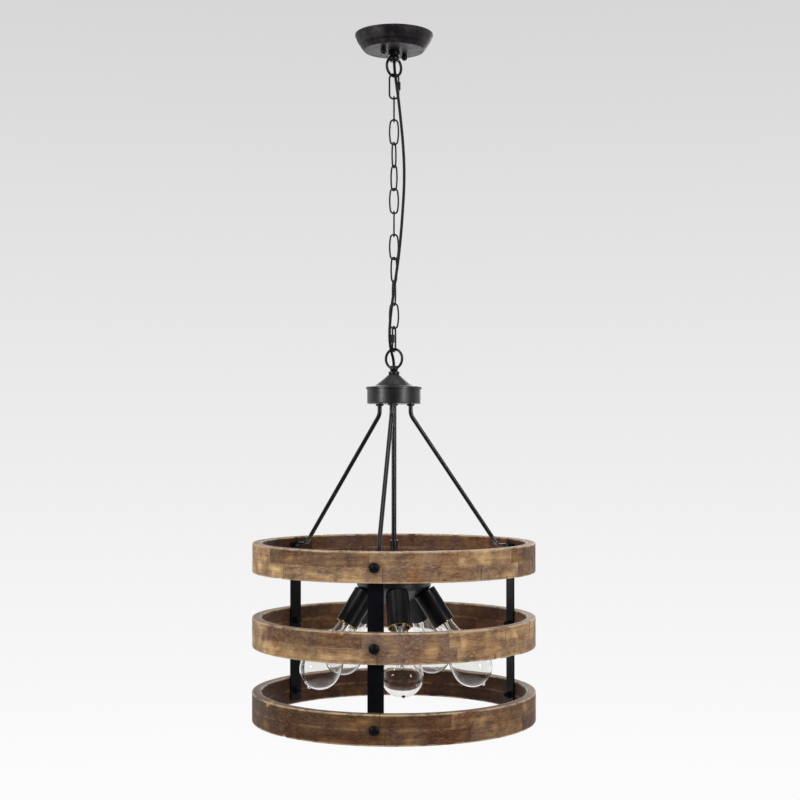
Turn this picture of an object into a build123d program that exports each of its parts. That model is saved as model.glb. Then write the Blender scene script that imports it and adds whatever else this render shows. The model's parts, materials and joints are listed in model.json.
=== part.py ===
from build123d import *
from math import asin, cos, degrees, hypot, pi, radians, sqrt, tan
import os

# Drum chandelier: three wooden hoops on flat steel straps round a cluster of five lamps,
# hung from a ceiling canopy by a chain with the flex beside it.
# Millimetres. The origin is the centre of the canopy's rim on the ceiling, +Z is up.
# Bearings are degrees from the front (-Y), growing towards the right (+X), seen in plan.

# Ceiling canopy
canopy_dia = 125.0
canopy_face_dia = 99.0
canopy_height = 26.0
canopy_wall = 1.2
canopy_rim_height = 2.6
canopy_rim_bevel = 1.0
canopy_band_fall = 0.6
canopy_band_bulge = 2.6
canopy_waist_share = 0.52
canopy_waist_reach = 1.4
canopy_groove_step = 1.5
canopy_groove_fall = 1.0
canopy_face_bulge = 1.6
canopy_face_round = 1.5
canopy_clearance = 0.3

# Crossbar on the ceiling, and the two studs that carry the canopy
crossbar_length = 104.0
crossbar_width = 20.0
crossbar_thickness = 2.5
crossbar_bearing = 139.0
ceiling_screw_spacing = 88.9
ceiling_screw_hole_dia = 4.6
crossbar_slot_length = 9.0
crossbar_slot_spacing = 71.0
stud_spacing = 51.0
stud_dia = 4.0
ball_nut_dia = 10.0
ball_nut_collar = 2.0
ball_nut_collar_dia = 8.0
ball_nut_sink = 1.0
stud_tip_in_nut = 7.0

# Terminal block under the crossbar
block_length = 26.0
block_width = 15.0
block_height = 8.5
block_body_height = 4.7
block_tower_width = 13.5
block_tower_share = 0.8
block_poles = 3
block_wire_hole_dia = 3.2
block_wire_hole_drop = 4.4

# Hollow threaded tube that loops and lampholders share, and how threads sit in their holes
lamp_thread_dia = 9.8
thread_play = 0.05
blind_hole_spare = 0.5

# Loops at the top of the chain and on the hub
loop_nut_size = 14.0
loop_nut_thickness = 5.0
loop_stud_above_nut = 2.0
knob_sink = 0.5
cord_bore_dia = 7.0
top_loop_outer_dia = 35.0
top_loop_wire = 4.4
top_loop_drop = 26.1
top_loop_collar_dia = 18.4
top_loop_collar_height = 7.5
top_loop_collar_round = 1.0
top_loop_knob_dia = 16.5
top_loop_knob_height = 10.5
top_loop_turn = 42.0
hub_loop_outer_dia = 35.0
hub_loop_wire = 4.2
hub_loop_drop = 25.4
hub_loop_knob_dia = 13.4
hub_loop_knob_height = 9.2
hub_loop_collar_dia = 17.6
hub_loop_collar_height = 5.0
hub_loop_collar_round = 0.8
hub_loop_turn = -33.0

# Chain: ten welded links between two screw links
chain_wire = 2.8
chain_inner_length = 37.2
chain_outer_width = 17.0
chain_end_radius = 5.9
screw_link_wire = 3.0
screw_link_outer_width = 18.0
screw_link_gap = 4.5
sleeve_below_gap = 0.5
sleeve_length = 13.0
sleeve_size = 5.6
link_play = 0.25
link_turns = [-12.0, 90.0, 0.0, 65.0, 132.0, 12.0, 90.0, 170.0, 50.0, 110.0, 0.0, 72.0]

# Flex beside the chain
cord_dia = 4.6
cord_points = [
    (0.0, 0.0, -20.0),
    (0.0, 0.0, -49.0),
    (2.8, -11.8, -75.5),
    (6.6, -14.0, -103.0),
    (10.6, -13.2, -138.0),
    (14.2, -12.4, -175.0),
    (16.4, -11.4, -212.0),
    (16.2, -11.0, -249.0),
    (13.9, -11.4, -286.0),
    (11.2, -12.6, -323.0),
    (7.6, -13.8, -359.0),
    (2.6, -14.6, -395.0),
    (-2.4, -15.0, -430.0),
    (-6.2, -15.4, -461.0),
    (-7.3, -14.8, -489.0),
    (-5.0, -10.6, -509.0),
    (0.0, 0.0, -524.5),
    (0.0, 0.0, -543.0),
]
cord_corner_share = 0.45

# Hub: spun cap over a drawn cup
hub_cap_top_dia = 17.6
hub_cap_cone_dia = 64.0
hub_cap_dia = 89.6
hub_cap_cone_height = 18.6
hub_cap_hollow_reach = 0.40
hub_cap_hollow_fall = 0.57
hub_cap_edge_bevel = 1.0
hub_cap_edge_rise = 0.6
hub_cap_flange_fall = 1.6
hub_cap_lip_height = 3.2
hub_cap_wall = 1.2
hub_cup_dia = 85.8
hub_cup_height = 25.2
hub_cup_wall = 1.6
hub_cup_edge_radius = 1.4
lock_nut_dia = 12.6
lock_nut_height = 3.2
lock_nut_bevel = 0.8

# Arm rods from the hub to the straps
arm_rod_dia = 7.0
arm_circle_radius = 29.0
arm_upper_run = 17.2
arm_upper_bend = 20.0
arm_thread_above_cup = 8.0
arm_inner_nut_size = 11.0
arm_inner_nut_height = 5.0
arm_eye_width = 12.0
arm_eye_thickness = 3.0
arm_edge_radius = 0.9
arm_flatten_length = 12.0
arm_foot_run = 21.0
arm_foot_rise = 13.5
arm_foot_bend = 5.0

# Centre stem, coupler and the pan that carries the sockets
stem_dia = 8.0
stem_bore_dia = 6.0
stem_drop = 217.2
stem_thread_in_loop = 6.0
coupler_dia = 12.5
coupler_length = 30.0
coupler_overlap = 12.0
coupler_bevel = 0.8
coupler_tube_gap = 1.0
pan_nipple_drop = 20.0
pan_dia = 118.0
pan_side_height = 22.0
pan_wall = 1.5
pan_shoulder = 3.0
pan_shoulder_height = 4.8
pan_floor_dia = 44.0
pan_cover_thickness = 1.5
pan_cover_lip = 5.0
pan_cover_round = 1.2
pan_cover_clearance = 0.2
finial_dia = 14.0
finial_rim = 2.0
finial_thread = 4.5
finial_height = 9.0

# Sockets
socket_count = 5
socket_first_bearing = 6.0
socket_tilt = 33.5
socket_seat_inset = 7.0
socket_dia = 36.0
socket_edge_round = 1.5
socket_length = 58.0
socket_play = 0.3
socket_mouth_bore = 33.6
socket_mouth_depth = 9.0
socket_screw_bore = 28.4
socket_screw_depth = 31.0
socket_wire_hole_dia = 6.0
socket_bolt_head_size = 14.0
socket_bolt_head_height = 3.0
socket_bolt_head_lift = 0.6
socket_bolt_depth = 12.0
shell_wall = 0.6
shell_play = 0.05
shell_lip_inset = 0.3

# Lamps with clear teardrop bulbs
bulb_base_dia = 26.0
bulb_base_wall = 0.45
bulb_base_rim = 3.0
bulb_base_length = 24.0
bulb_contact_dia = 9.0
bulb_contact_height = 2.0
bulb_taper_height = 4.0
bulb_insulator = 1.5
bulb_neck_dia = 25.0
bulb_neck_straight = 2.0
bulb_neck_in_base = 5.0
bulb_dia = 64.0
bulb_widest = 81.0
bulb_flank_radius = 75.0
bulb_wall = 0.8
bulb_pip_dia = 5.0
bulb_pip_length = 3.5

# Hoops, straps and their bolts
hoop_dia = 450.0
hoop_wall = 15.0
hoop_height = 46.0
hoop_spacing = 117.0
hoop_edge_bevel = 1.2
hoop_drop = 243.2
strap_count = 3
strap_first_bearing = -7.1
strap_width = 24.0
strap_thickness = 3.0
strap_above_bolt = 15.0
strap_below_bolt = 16.0
strap_corner_radius = 2.0
strap_play = 0.1
bolt_dia = 6.0
bolt_hole_dia = 6.6
bolt_head_dia = 15.0
bolt_head_height = 4.6
bolt_head_rim = 1.2
bolt_thread_in_nut = 6.5
nut_size = 10.0
nut_hex_height = 5.5
nut_dome_dia = 9.2
cap_nut_height = 11.0
nut_thread_depth = 7.5
nut_dome_sink = 0.5


# Places down the lamp, each from the piece above it
stem_bearing_play = 0.05
face_z = -canopy_height
top_loop_z = face_z - top_loop_drop
hoop_inner_radius = hoop_dia / 2 - hoop_wall
strap_outer = sqrt(hoop_inner_radius**2 - (strap_width / 2) ** 2) - strap_play
strap_inner = strap_outer - strap_thickness


def bearing(angle):
    """A turn about the lamp's axis that lays local +X along this bearing."""
    return Rot(0, 0, angle - 90)


def turned(*edges):
    """A body of revolution about Z from a closed outline drawn as radius and height."""
    face = make_face([edge for part in edges for edge in part.edges()])
    return revolve(Plane.XZ * face, Axis.Z, 360)


def outline(*points):
    return Polyline(*points, close=True)


def tube(outer_dia, inner_dia, top, bottom):
    length = top - bottom
    body = Cylinder(outer_dia / 2, length) - Cylinder(inner_dia / 2, length * 2)
    return Pos(0, 0, (top + bottom) / 2) * body


def rod(dia, top, bottom):
    return Pos(0, 0, (top + bottom) / 2) * Cylinder(dia / 2, top - bottom)


def hex_block(size, height):
    """Hexagon across these flats that stands on z=0, with its corners bevelled at both faces."""
    prism = extrude(RegularPolygon(size / 2, 6, major_radius=False), height)
    flat = size / 2
    corner = flat / cos(radians(30))
    bevel = (corner - flat) * tan(radians(30))
    return prism & turned(outline(
        (0, 0), (flat, 0), (corner, bevel), (corner, height - bevel), (flat, height), (0, height)))


def hex_nut(size, bore_dia, height):
    return hex_block(size, height) - Cylinder(bore_dia / 2, height * 4)


def swept_ring(path, wire):
    """Round wire along a closed path."""
    start = Plane(origin=path @ 0, z_dir=path % 0)
    return sweep(start * Circle(wire / 2), path=path)


def arc_about(centre, start, end):
    """Arc round a centre from start to end, the short way."""
    reach = hypot(start[0] - centre[0], start[1] - centre[1])
    aside = (start[0] + end[0] - 2 * centre[0], start[1] + end[1] - 2 * centre[1])
    scale = reach / hypot(*aside)
    middle = (centre[0] + aside[0] * scale, centre[1] + aside[1] * scale)
    return ThreePointArc(start, middle, end)


def dome(dia, base, tip):
    """Cap of a ball, on a flat disc at height base, with its crown at height tip."""
    radius = dia / 2
    rise = tip - base
    centre = (0, base + (rise**2 - radius**2) / (2 * rise))
    return turned(
        Line((0, base), (radius, base)),
        arc_about(centre, (radius, base), (0, tip)),
        Line((0, tip), (0, base)))


def save(shape, name):
    export_step(shape, f"parts/{name}.step")


def save_group(shapes, name):
    save(Compound(children=[piece for shape in shapes for piece in shape.solids()]), name)


os.makedirs("parts", exist_ok=True)


# Canopy: a spun steel pan with two swelling bands and a groove between them
def canopy_section(inset, top):
    rim = canopy_dia / 2 - inset
    face = canopy_face_dia / 2 - inset
    waist = (rim + face) / 2 + canopy_waist_reach
    floor = -canopy_height + inset
    rim_corner = (rim, -canopy_rim_height)
    band_start = (rim - canopy_rim_bevel, -canopy_rim_height - canopy_band_fall)
    waist_corner = (waist, -canopy_height * canopy_waist_share)
    groove = (waist - canopy_groove_step, waist_corner[1] - canopy_groove_fall)
    face_corner = (face - canopy_face_round, floor)
    upper_middle = (waist + canopy_band_bulge, (band_start[1] + waist_corner[1]) / 2)
    lower_middle = (face + canopy_band_bulge, (waist_corner[1] + floor) / 2 - canopy_face_bulge)
    return turned(
        Line((0, top), (rim, top)),
        Line((rim, top), rim_corner),
        Line(rim_corner, band_start),
        ThreePointArc(band_start, upper_middle, waist_corner),
        Line(waist_corner, groove),
        ThreePointArc(groove, lower_middle, face_corner),
        Line(face_corner, (0, floor)),
        Line((0, floor), (0, top)))


def make_canopy():
    body = canopy_section(0, 0) - canopy_section(canopy_wall, 1)
    hole = Cylinder((lamp_thread_dia + 2 * canopy_clearance) / 2, canopy_height * 4)
    body -= hole
    for side in (-1, 1):
        stud_hole = Cylinder(stud_dia / 2 + canopy_clearance, canopy_height * 4)
        body -= bearing(crossbar_bearing) * Pos(side * stud_spacing / 2, 0, 0) * stud_hole
    return body


def make_crossbar():
    bar = extrude(SlotOverall(crossbar_length, crossbar_width), -crossbar_thickness)
    drill_length = crossbar_thickness * 4
    bar -= Cylinder(lamp_thread_dia / 2 + canopy_clearance, drill_length)
    for side in (-1, 1):
        bar -= Pos(side * ceiling_screw_spacing / 2) * Cylinder(ceiling_screw_hole_dia / 2, drill_length)
        bar -= Pos(side * stud_spacing / 2) * Cylinder(stud_dia / 2 + thread_play, drill_length)
        slot = extrude(SlotOverall(crossbar_slot_length, ceiling_screw_hole_dia), drill_length, both=True)
        bar -= Pos(side * crossbar_slot_spacing / 2) * slot
    return bearing(crossbar_bearing) * bar


def make_ball_nut():
    """A ball on a short collar, with a blind threaded hole. Its seat is z=0."""
    radius = ball_nut_dia / 2
    ball = Pos(0, 0, ball_nut_sink - ball_nut_collar - radius) * Sphere(radius)
    collar = rod(ball_nut_collar_dia, 0, -ball_nut_collar - ball_nut_sink)
    return ball + collar - rod(stud_dia + 2 * thread_play, 1, -stud_tip_in_nut - blind_hole_spare)


def make_terminal_block():
    """Moulded block with one rounded tower for each pole, a wire hole and a clamp screw hole."""
    block = extrude(Rectangle(block_length, block_width), -block_body_height)
    pitch = block_length / block_poles
    for pole in range(block_poles):
        x = (pole - (block_poles - 1) / 2) * pitch
        tower = extrude(SlotOverall(block_tower_width, pitch * block_tower_share, rotation=90), -block_height)
        block += Pos(x, 0, 0) * tower
        wire_hole = Rot(90, 0, 0) * Cylinder(block_wire_hole_dia / 2, block_width * 2)
        block -= Pos(x, 0, -block_wire_hole_drop) * wire_hole
    return block


save(make_canopy(), "canopy")
save(make_crossbar(), "crossbar")
stud_bottom = face_z - stud_tip_in_nut
studs = [bearing(crossbar_bearing) * Pos(side * stud_spacing / 2) * rod(stud_dia, 0, stud_bottom)
         for side in (-1, 1)]
save_group(studs, "crossbar_studs")
ball_nuts = [bearing(crossbar_bearing) * Pos(side * stud_spacing / 2, 0, face_z) * make_ball_nut()
             for side in (-1, 1)]
save_group(ball_nuts, "canopy_ball_nuts")
save(bearing(crossbar_bearing) * Pos(0, 0, -crossbar_thickness) * make_terminal_block(), "terminal_block")


# Loops: a cast ring on a bored knob and collar
def loop_ring(outer_dia, wire, turn):
    return Rot(0, 0, turn) * Rot(90, 0, 0) * Torus((outer_dia - wire) / 2, wire / 2)


def knob(dia, top, bottom):
    """Ball with its top and bottom cut flat."""
    return Pos(0, 0, (top + bottom) / 2) * Sphere(dia / 2) & rod(dia * 2, top, bottom)


def make_top_loop():
    stud_top = face_z + canopy_wall + loop_nut_thickness + loop_stud_above_nut
    collar_bottom = face_z - top_loop_collar_height
    knob_bottom = collar_bottom - top_loop_knob_height
    body = rod(lamp_thread_dia, stud_top, collar_bottom)
    collar = rod(top_loop_collar_dia, face_z, collar_bottom)
    body += fillet(collar.edges().filter_by(GeomType.CIRCLE), top_loop_collar_round)
    body += knob(top_loop_knob_dia, collar_bottom + knob_sink, knob_bottom)
    body += Pos(0, 0, top_loop_z) * loop_ring(top_loop_outer_dia, top_loop_wire, top_loop_turn)
    return body - rod(cord_bore_dia, stud_top + 1, knob_bottom - 1)


save(make_top_loop(), "top_loop")
loop_nut_z = face_z + canopy_wall
save(Pos(0, 0, loop_nut_z) * hex_nut(loop_nut_size, lamp_thread_dia + 2 * thread_play, loop_nut_thickness),
     "loop_nut")


# Chain: each link hangs on the wire above it, with a little play
def link_path(wire, inner_length, outer_width, end_radius):
    """Centreline of a welded link, two tight end arcs and two slack side arcs, in XZ about its middle."""
    half_length = (inner_length + wire) / 2
    half_width = (outer_width - wire) / 2
    reach = half_length - end_radius
    side_radius = (half_width**2 + reach**2 - end_radius**2) / (2 * (half_width - end_radius))
    swing = degrees(asin(reach / (side_radius - end_radius)))
    offset = side_radius - half_width
    arcs = [
        CenterArc((-offset, 0), side_radius, -swing, 2 * swing),
        CenterArc((0, reach), end_radius, swing, 180 - 2 * swing),
        CenterArc((offset, 0), side_radius, 180 - swing, 2 * swing),
        CenterArc((0, -reach), end_radius, 180 + swing, 180 - 2 * swing),
    ]
    return Wire([Plane.XZ * arc for arc in arcs])


def make_chain_link():
    return swept_ring(
        link_path(chain_wire, chain_inner_length, chain_outer_width, chain_end_radius), chain_wire)


def make_screw_link(gap_side):
    """Straight-sided link with a gap in one shank, which the threaded sleeve closes."""
    length = chain_inner_length + screw_link_wire
    width = screw_link_outer_width - screw_link_wire
    radius = width / 2
    reach = length / 2 - radius
    edges = [
        Line((radius, -reach), (radius, reach)),
        CenterArc((0, reach), radius, 0, 180),
        Line((-radius, reach), (-radius, -reach)),
        CenterArc((0, -reach), radius, 180, 180),
    ]
    link = swept_ring(Wire([Plane.XZ * edge for edge in edges]), screw_link_wire)
    gap_z = sleeve_bottom + sleeve_below_gap + screw_link_gap / 2
    gap = Box(screw_link_wire * 2, screw_link_wire * 2, screw_link_gap)
    return link - Pos(gap_side * radius, 0, gap_z) * gap


def make_sleeve(gap_side):
    bore = screw_link_wire + 2 * thread_play
    nut = hex_nut(sleeve_size, bore, sleeve_length)
    return Pos(gap_side * (screw_link_outer_width - screw_link_wire) / 2, 0, sleeve_bottom) * nut


sleeve_bottom = -sleeve_length / 2
link_count = len(link_turns)
top_loop_support = top_loop_z - top_loop_outer_dia / 2 + top_loop_wire
# Each link's seat is the top of the wire that carries it
seats = [top_loop_support - i * (chain_inner_length - link_play) for i in range(link_count + 1)]
link_middles = [seat + link_play - chain_inner_length / 2 for seat in seats[:link_count]]


def link_place(i):
    return Pos(0, 0, link_middles[i]) * Rot(0, 0, link_turns[i])


save(link_place(0) * make_screw_link(1), "screw_link_top")
save(link_place(0) * make_sleeve(1), "screw_link_top_sleeve")
for i in range(1, link_count - 1):
    save(link_place(i) * make_chain_link(), f"chain_link_{i + 1:02d}")
save(link_place(link_count - 1) * make_screw_link(-1), "screw_link_bottom")
save(link_place(link_count - 1) * make_sleeve(-1), "screw_link_bottom_sleeve")


# Flex: straight runs joined by tangent arcs, as large as the runs allow
def corner_radii(points, share):
    radii = []
    for before, here, after in zip(points, points[1:], points[2:]):
        run_in = Vector(*here) - Vector(*before)
        run_out = Vector(*after) - Vector(*here)
        turn = radians(run_in.get_angle(run_out))
        radii.append(share * min(run_in.length, run_out.length) / tan(turn / 2))
    return radii


def make_cord():
    radii = corner_radii(cord_points, cord_corner_share)
    path = FilletPolyline(*cord_points, radius=radii)
    body = sweep(Plane(origin=path @ 0, z_dir=path % 0) * Circle(cord_dia / 2), path=path)
    section = pi * (cord_dia / 2) ** 2
    print("cord length", round(path.length, 1), "mm, least arc radius", round(min(radii), 1))
    print("cord arc radii", [round(radius) for radius in radii])
    print("cord volume over section times length", round(body.volume / (section * path.length), 4))
    return body


save(make_cord(), "flex_cord")


# Hub: the loop's collar clamps the cap on the cup, and the stem's lock nut holds them from below
hub_loop_z = seats[link_count] + link_play + hub_loop_wire - hub_loop_outer_dia / 2
hub_top = hub_loop_z - hub_loop_drop
flange_z = hub_top - hub_cap_cone_height
cup_top = flange_z - hub_cap_flange_fall - hub_cap_wall
cup_bottom = cup_top - hub_cup_height


def make_hub_loop():
    collar_top = hub_top + hub_loop_collar_height
    body = rod(hub_loop_collar_dia, collar_top, hub_top)
    body = fillet(body.edges().filter_by(GeomType.CIRCLE), hub_loop_collar_round)
    body += knob(hub_loop_knob_dia, collar_top + hub_loop_knob_height, collar_top - knob_sink)
    body += Pos(0, 0, hub_loop_z) * loop_ring(hub_loop_outer_dia, hub_loop_wire, hub_loop_turn)
    thread = stem_dia + 2 * stem_bearing_play
    body -= rod(cord_bore_dia, hub_loop_z, hub_top - 1)
    return body - rod(thread, hub_top + stem_thread_in_loop + blind_hole_spare, hub_top - 1)


def cap_section(inset):
    top = hub_top - inset
    top_radius = hub_cap_top_dia / 2 - inset
    cone_radius = hub_cap_cone_dia / 2
    rim = hub_cap_dia / 2 - inset
    rim_z = flange_z - hub_cap_flange_fall - inset
    bottom = rim_z - hub_cap_lip_height
    hollow = (top_radius + (cone_radius - top_radius) * hub_cap_hollow_reach,
              top - hub_cap_cone_height * hub_cap_hollow_fall)
    bend = (cone_radius, flange_z - inset)
    edge_start = (rim - hub_cap_edge_bevel, rim_z + hub_cap_edge_rise)
    edge_end = (rim, edge_start[1] - hub_cap_edge_bevel)
    return turned(
        Line((0, top), (top_radius, top)),
        ThreePointArc((top_radius, top), hollow, bend),
        Line(bend, edge_start),
        Line(edge_start, edge_end),
        Line(edge_end, (rim, bottom)),
        Line((rim, bottom), (0, bottom)),
        Line((0, bottom), (0, top)))


def make_hub_cap():
    body = cap_section(0) - cap_section(hub_cap_wall)
    return body - rod(stem_dia + 2 * stem_bearing_play, hub_top + 1, hub_top - hub_cap_wall - 1)


def make_hub_cup():
    shell = rod(hub_cup_dia, cup_top, cup_bottom)
    shell = fillet(shell.edges().filter_by(GeomType.CIRCLE).group_by(Axis.Z)[0], hub_cup_edge_radius)
    shell -= rod(hub_cup_dia - 2 * hub_cup_wall, cup_top + 1, cup_bottom + hub_cup_wall)
    inner_floor = cup_bottom + hub_cup_wall
    shell -= rod(stem_dia + 2 * stem_bearing_play, inner_floor + 1, cup_bottom - 1)
    for angle in strap_bearings:
        hole = rod(arm_rod_dia + 2 * thread_play, inner_floor + 1, cup_bottom - 1)
        shell -= bearing(angle) * Pos(arm_circle_radius) * hole
    return shell


def lock_nut(bore_dia):
    """Low round collar nut that hangs under z=0."""
    nut = rod(lock_nut_dia, 0, -lock_nut_height)
    nut = chamfer(nut.edges().filter_by(GeomType.CIRCLE).group_by(Axis.Z)[0], lock_nut_bevel)
    return nut - Cylinder(bore_dia / 2, lock_nut_height * 4)


strap_bearings = [strap_first_bearing + i * 360 / strap_count for i in range(strap_count)]
save(make_hub_loop(), "hub_loop")
save(make_hub_cap(), "hub_cap")
save(make_hub_cup(), "hub_cup")
hub_nuts = [Pos(0, 0, cup_bottom) * lock_nut(stem_dia + 2 * stem_bearing_play)]
rod_bore = arm_rod_dia + 2 * thread_play
inner_nut = Pos(0, 0, hub_cup_wall) * hex_nut(arm_inner_nut_size, rod_bore, arm_inner_nut_height)
for angle in strap_bearings:
    place = bearing(angle) * Pos(arm_circle_radius, 0, cup_bottom)
    hub_nuts.append(place * lock_nut(rod_bore))
    hub_nuts.append(place * inner_nut)
save_group(hub_nuts, "hub_lock_nuts")

# Hoops and straps hang from the hub by the arm rods
bolt_heights = [cup_bottom - hoop_drop - i * hoop_spacing for i in range(3)]
hoop_names = ["upper_hoop", "middle_hoop", "lower_hoop"]
eye_middle = strap_inner - arm_eye_thickness / 2


def across(x, z):
    """Frame at this radius and height whose Z runs inwards, along a bolt."""
    return Location(Plane(origin=(x, 0, z), x_dir=(0, 1, 0), z_dir=(-1, 0, 0)))


def make_hoop(middle_z):
    ring = turned(outline(
        (hoop_inner_radius, middle_z - hoop_height / 2), (hoop_dia / 2, middle_z - hoop_height / 2),
        (hoop_dia / 2, middle_z + hoop_height / 2), (hoop_inner_radius, middle_z + hoop_height / 2)))
    ring = chamfer(ring.edges().filter_by(GeomType.CIRCLE), hoop_edge_bevel)
    for angle in strap_bearings:
        hole = across(hoop_dia / 2 + 1, middle_z) * extrude(Circle(bolt_hole_dia / 2), hoop_wall + 5)
        ring -= bearing(angle) * hole
    return ring


def make_strap(angle):
    top = bolt_heights[0] + strap_above_bolt
    bottom = bolt_heights[2] - strap_below_bolt
    blank = RectangleRounded(strap_width, top - bottom, strap_corner_radius)
    strap = across(strap_outer, (top + bottom) / 2) * extrude(blank, strap_thickness)
    for z in bolt_heights:
        strap -= across(strap_outer + 1, z) * extrude(Circle(bolt_hole_dia / 2), strap_thickness + 2)
    return bearing(angle) * strap


def make_arm_rod(angle):
    """Round rod, bent below the hub. Its flattened end steps out to the strap and turns down into an eye."""
    eye_z = bolt_heights[0]
    top = (arm_circle_radius, cup_bottom + hub_cup_wall + arm_thread_above_cup)
    bend = (arm_circle_radius, cup_bottom - arm_upper_run)
    knee = (eye_middle - arm_foot_run, eye_z + arm_foot_rise)
    corner = (eye_middle, eye_z + arm_foot_rise)
    run = hypot(knee[0] - bend[0], knee[1] - bend[1])
    ahead = ((knee[0] - bend[0]) / run, (knee[1] - bend[1]) / run)

    def above_knee(distance):
        return (knee[0] - ahead[0] * distance, knee[1] - ahead[1] * distance)

    def square_to_rod(point):
        return Plane(origin=(point[0], 0, point[1]), x_dir=(0, 1, 0), z_dir=(ahead[0], 0, ahead[1]))

    flat_start = above_knee(arm_foot_bend)
    round_end = above_knee(arm_foot_bend + arm_flatten_length)
    rod_path = Plane.XZ * FilletPolyline(top, bend, round_end, radius=arm_upper_bend)
    foot_path = Plane.XZ * FilletPolyline(flat_start, knee, corner, (eye_middle, eye_z), radius=arm_foot_bend)
    flat = RectangleRounded(arm_eye_width, arm_eye_thickness, arm_edge_radius)
    body = sweep(Plane(origin=rod_path @ 0, z_dir=rod_path % 0) * Circle(arm_rod_dia / 2), path=rod_path)
    body += loft([square_to_rod(round_end) * Circle(arm_rod_dia / 2), square_to_rod(flat_start) * flat])
    body += sweep(square_to_rod(flat_start) * flat, path=foot_path)
    body += across(strap_inner, eye_z) * extrude(Circle(arm_eye_width / 2), arm_eye_thickness)
    body -= across(strap_inner + 1, eye_z) * extrude(Circle(bolt_hole_dia / 2), arm_eye_thickness + 2)
    return bearing(angle) * body


def make_bolt(z, grip):
    """Domed head outside the hoop, plain shank through hoop and strap."""
    head = rod(bolt_head_dia, bolt_head_rim, 0) + dome(bolt_head_dia, bolt_head_rim, bolt_head_height)
    shank = rod(bolt_dia, bolt_head_rim, -grip)
    outwards = Location(Plane(origin=(hoop_dia / 2, 0, z), x_dir=(0, 1, 0), z_dir=(1, 0, 0)))
    return outwards * (head + shank)


def cap_nut():
    """Domed nut with a blind hole, its seat on z=0."""
    body = hex_block(nut_size, nut_hex_height)
    body += dome(nut_dome_dia, nut_hex_height - nut_dome_sink, cap_nut_height)
    return body - rod(bolt_dia + 2 * thread_play, nut_thread_depth, -1)


for name, z in zip(hoop_names, bolt_heights):
    save(make_hoop(z), name)
bolts = []
nuts = []
for i, angle in enumerate(strap_bearings):
    save(make_strap(angle), f"strap_{i + 1}")
    save(make_arm_rod(angle), f"arm_rod_{i + 1}")
    for z in bolt_heights:
        carries_arm = z == bolt_heights[0]
        nut_seat = strap_inner - arm_eye_thickness if carries_arm else strap_inner
        grip = hoop_dia / 2 - nut_seat + bolt_thread_in_nut
        bolts.append(bearing(angle) * make_bolt(z, grip))
        nuts.append(bearing(angle) * across(nut_seat, z) * cap_nut())
save_group(bolts, "hoop_bolts")
save_group(nuts, "hoop_nuts")

# Stem, coupler, nipple, pan, cover and finial on the lamp's axis
stem_bottom = cup_bottom - stem_drop - coupler_overlap
coupler_top = cup_bottom - stem_drop
coupler_bottom = coupler_top - coupler_length
cover_top = coupler_bottom - pan_nipple_drop
pan_top = cover_top - pan_cover_thickness
pan_corner = cover_top - pan_side_height
# The pan's underside is a cone square to the sockets
seat_slope = tan(radians(socket_tilt))
seat_outer_radius = pan_dia / 2 - pan_shoulder
seat_outer_z = pan_corner - pan_shoulder_height
floor_radius = pan_floor_dia / 2
floor_z = seat_outer_z - (seat_outer_radius - floor_radius) * seat_slope


def make_stem():
    return tube(stem_dia, stem_bore_dia, hub_top + stem_thread_in_loop, stem_bottom)


def make_coupler():
    thread = stem_dia + 2 * stem_bearing_play
    body = rod(coupler_dia, coupler_top, coupler_bottom)
    body = chamfer(body.edges().filter_by(GeomType.CIRCLE), coupler_bevel)
    return body - rod(thread, coupler_top + 1, coupler_bottom - 1)


def inside_corner(before, corner, after, wall):
    """The point one wall inside both sides of a corner, on an outline that runs clockwise."""
    normals = []
    for start, end in ((before, corner), (corner, after)):
        length = hypot(end[0] - start[0], end[1] - start[1])
        normals.append(((end[1] - start[1]) / length, (start[0] - end[0]) / length))
    (ax, az), (bx, bz) = normals
    reach = wall / (1 + ax * bx + az * bz)
    return (corner[0] + (ax + bx) * reach, corner[1] + (az + bz) * reach)


def make_pan():
    """Spun dish of one wall thickness: upright side, bevelled shoulder, cone and flat floor."""
    side = [(pan_dia / 2, pan_top), (pan_dia / 2, pan_corner), (seat_outer_radius, seat_outer_z),
            (floor_radius, floor_z), (0, floor_z)]
    corners = [inside_corner(*three, pan_wall) for three in zip(side, side[1:], side[2:])]
    outer = turned(outline((0, pan_top), *side))
    inner = turned(outline((0, pan_top + 1), (pan_dia / 2 - pan_wall, pan_top + 1), *corners,
                           (0, floor_z + pan_wall)))
    body = outer - inner
    body -= rod(stem_dia + 2 * stem_bearing_play, floor_z + pan_wall + 1, floor_z - 1)
    for angle in socket_bearings:
        body -= socket_place(angle) * Cylinder(lamp_thread_dia / 2 + canopy_clearance, pan_wall * 8)
    return body


def make_pan_cover():
    """Flat lid with a short rim that fits over the pan."""
    inner_dia = pan_dia + 2 * pan_cover_clearance
    outer_dia = inner_dia + 2 * pan_cover_thickness
    lid = rod(outer_dia, cover_top, cover_top - pan_cover_thickness - pan_cover_lip)
    lid = fillet(lid.edges().filter_by(GeomType.CIRCLE).group_by(Axis.Z)[-1], pan_cover_round)
    lid -= rod(inner_dia, pan_top, pan_top - pan_cover_lip - 1)
    return lid - rod(stem_dia + 2 * stem_bearing_play, cover_top + 1, pan_top - 1)


def make_finial():
    """Domed nut under the pan, on the nipple's end."""
    body = rod(finial_dia, 0, -finial_rim) + dome(finial_dia, -finial_rim, -finial_height)
    return body - rod(stem_dia + 2 * stem_bearing_play, 1, -finial_thread - blind_hole_spare)


# A socket's frame has its origin on the seat plane, with Z pointing back into the pan
socket_seat_radius = seat_outer_radius - socket_seat_inset


def socket_place(angle):
    seat_z = seat_outer_z - socket_seat_inset * seat_slope
    return bearing(angle) * Pos(socket_seat_radius, 0, seat_z) * Rot(0, -socket_tilt, 0)


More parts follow.
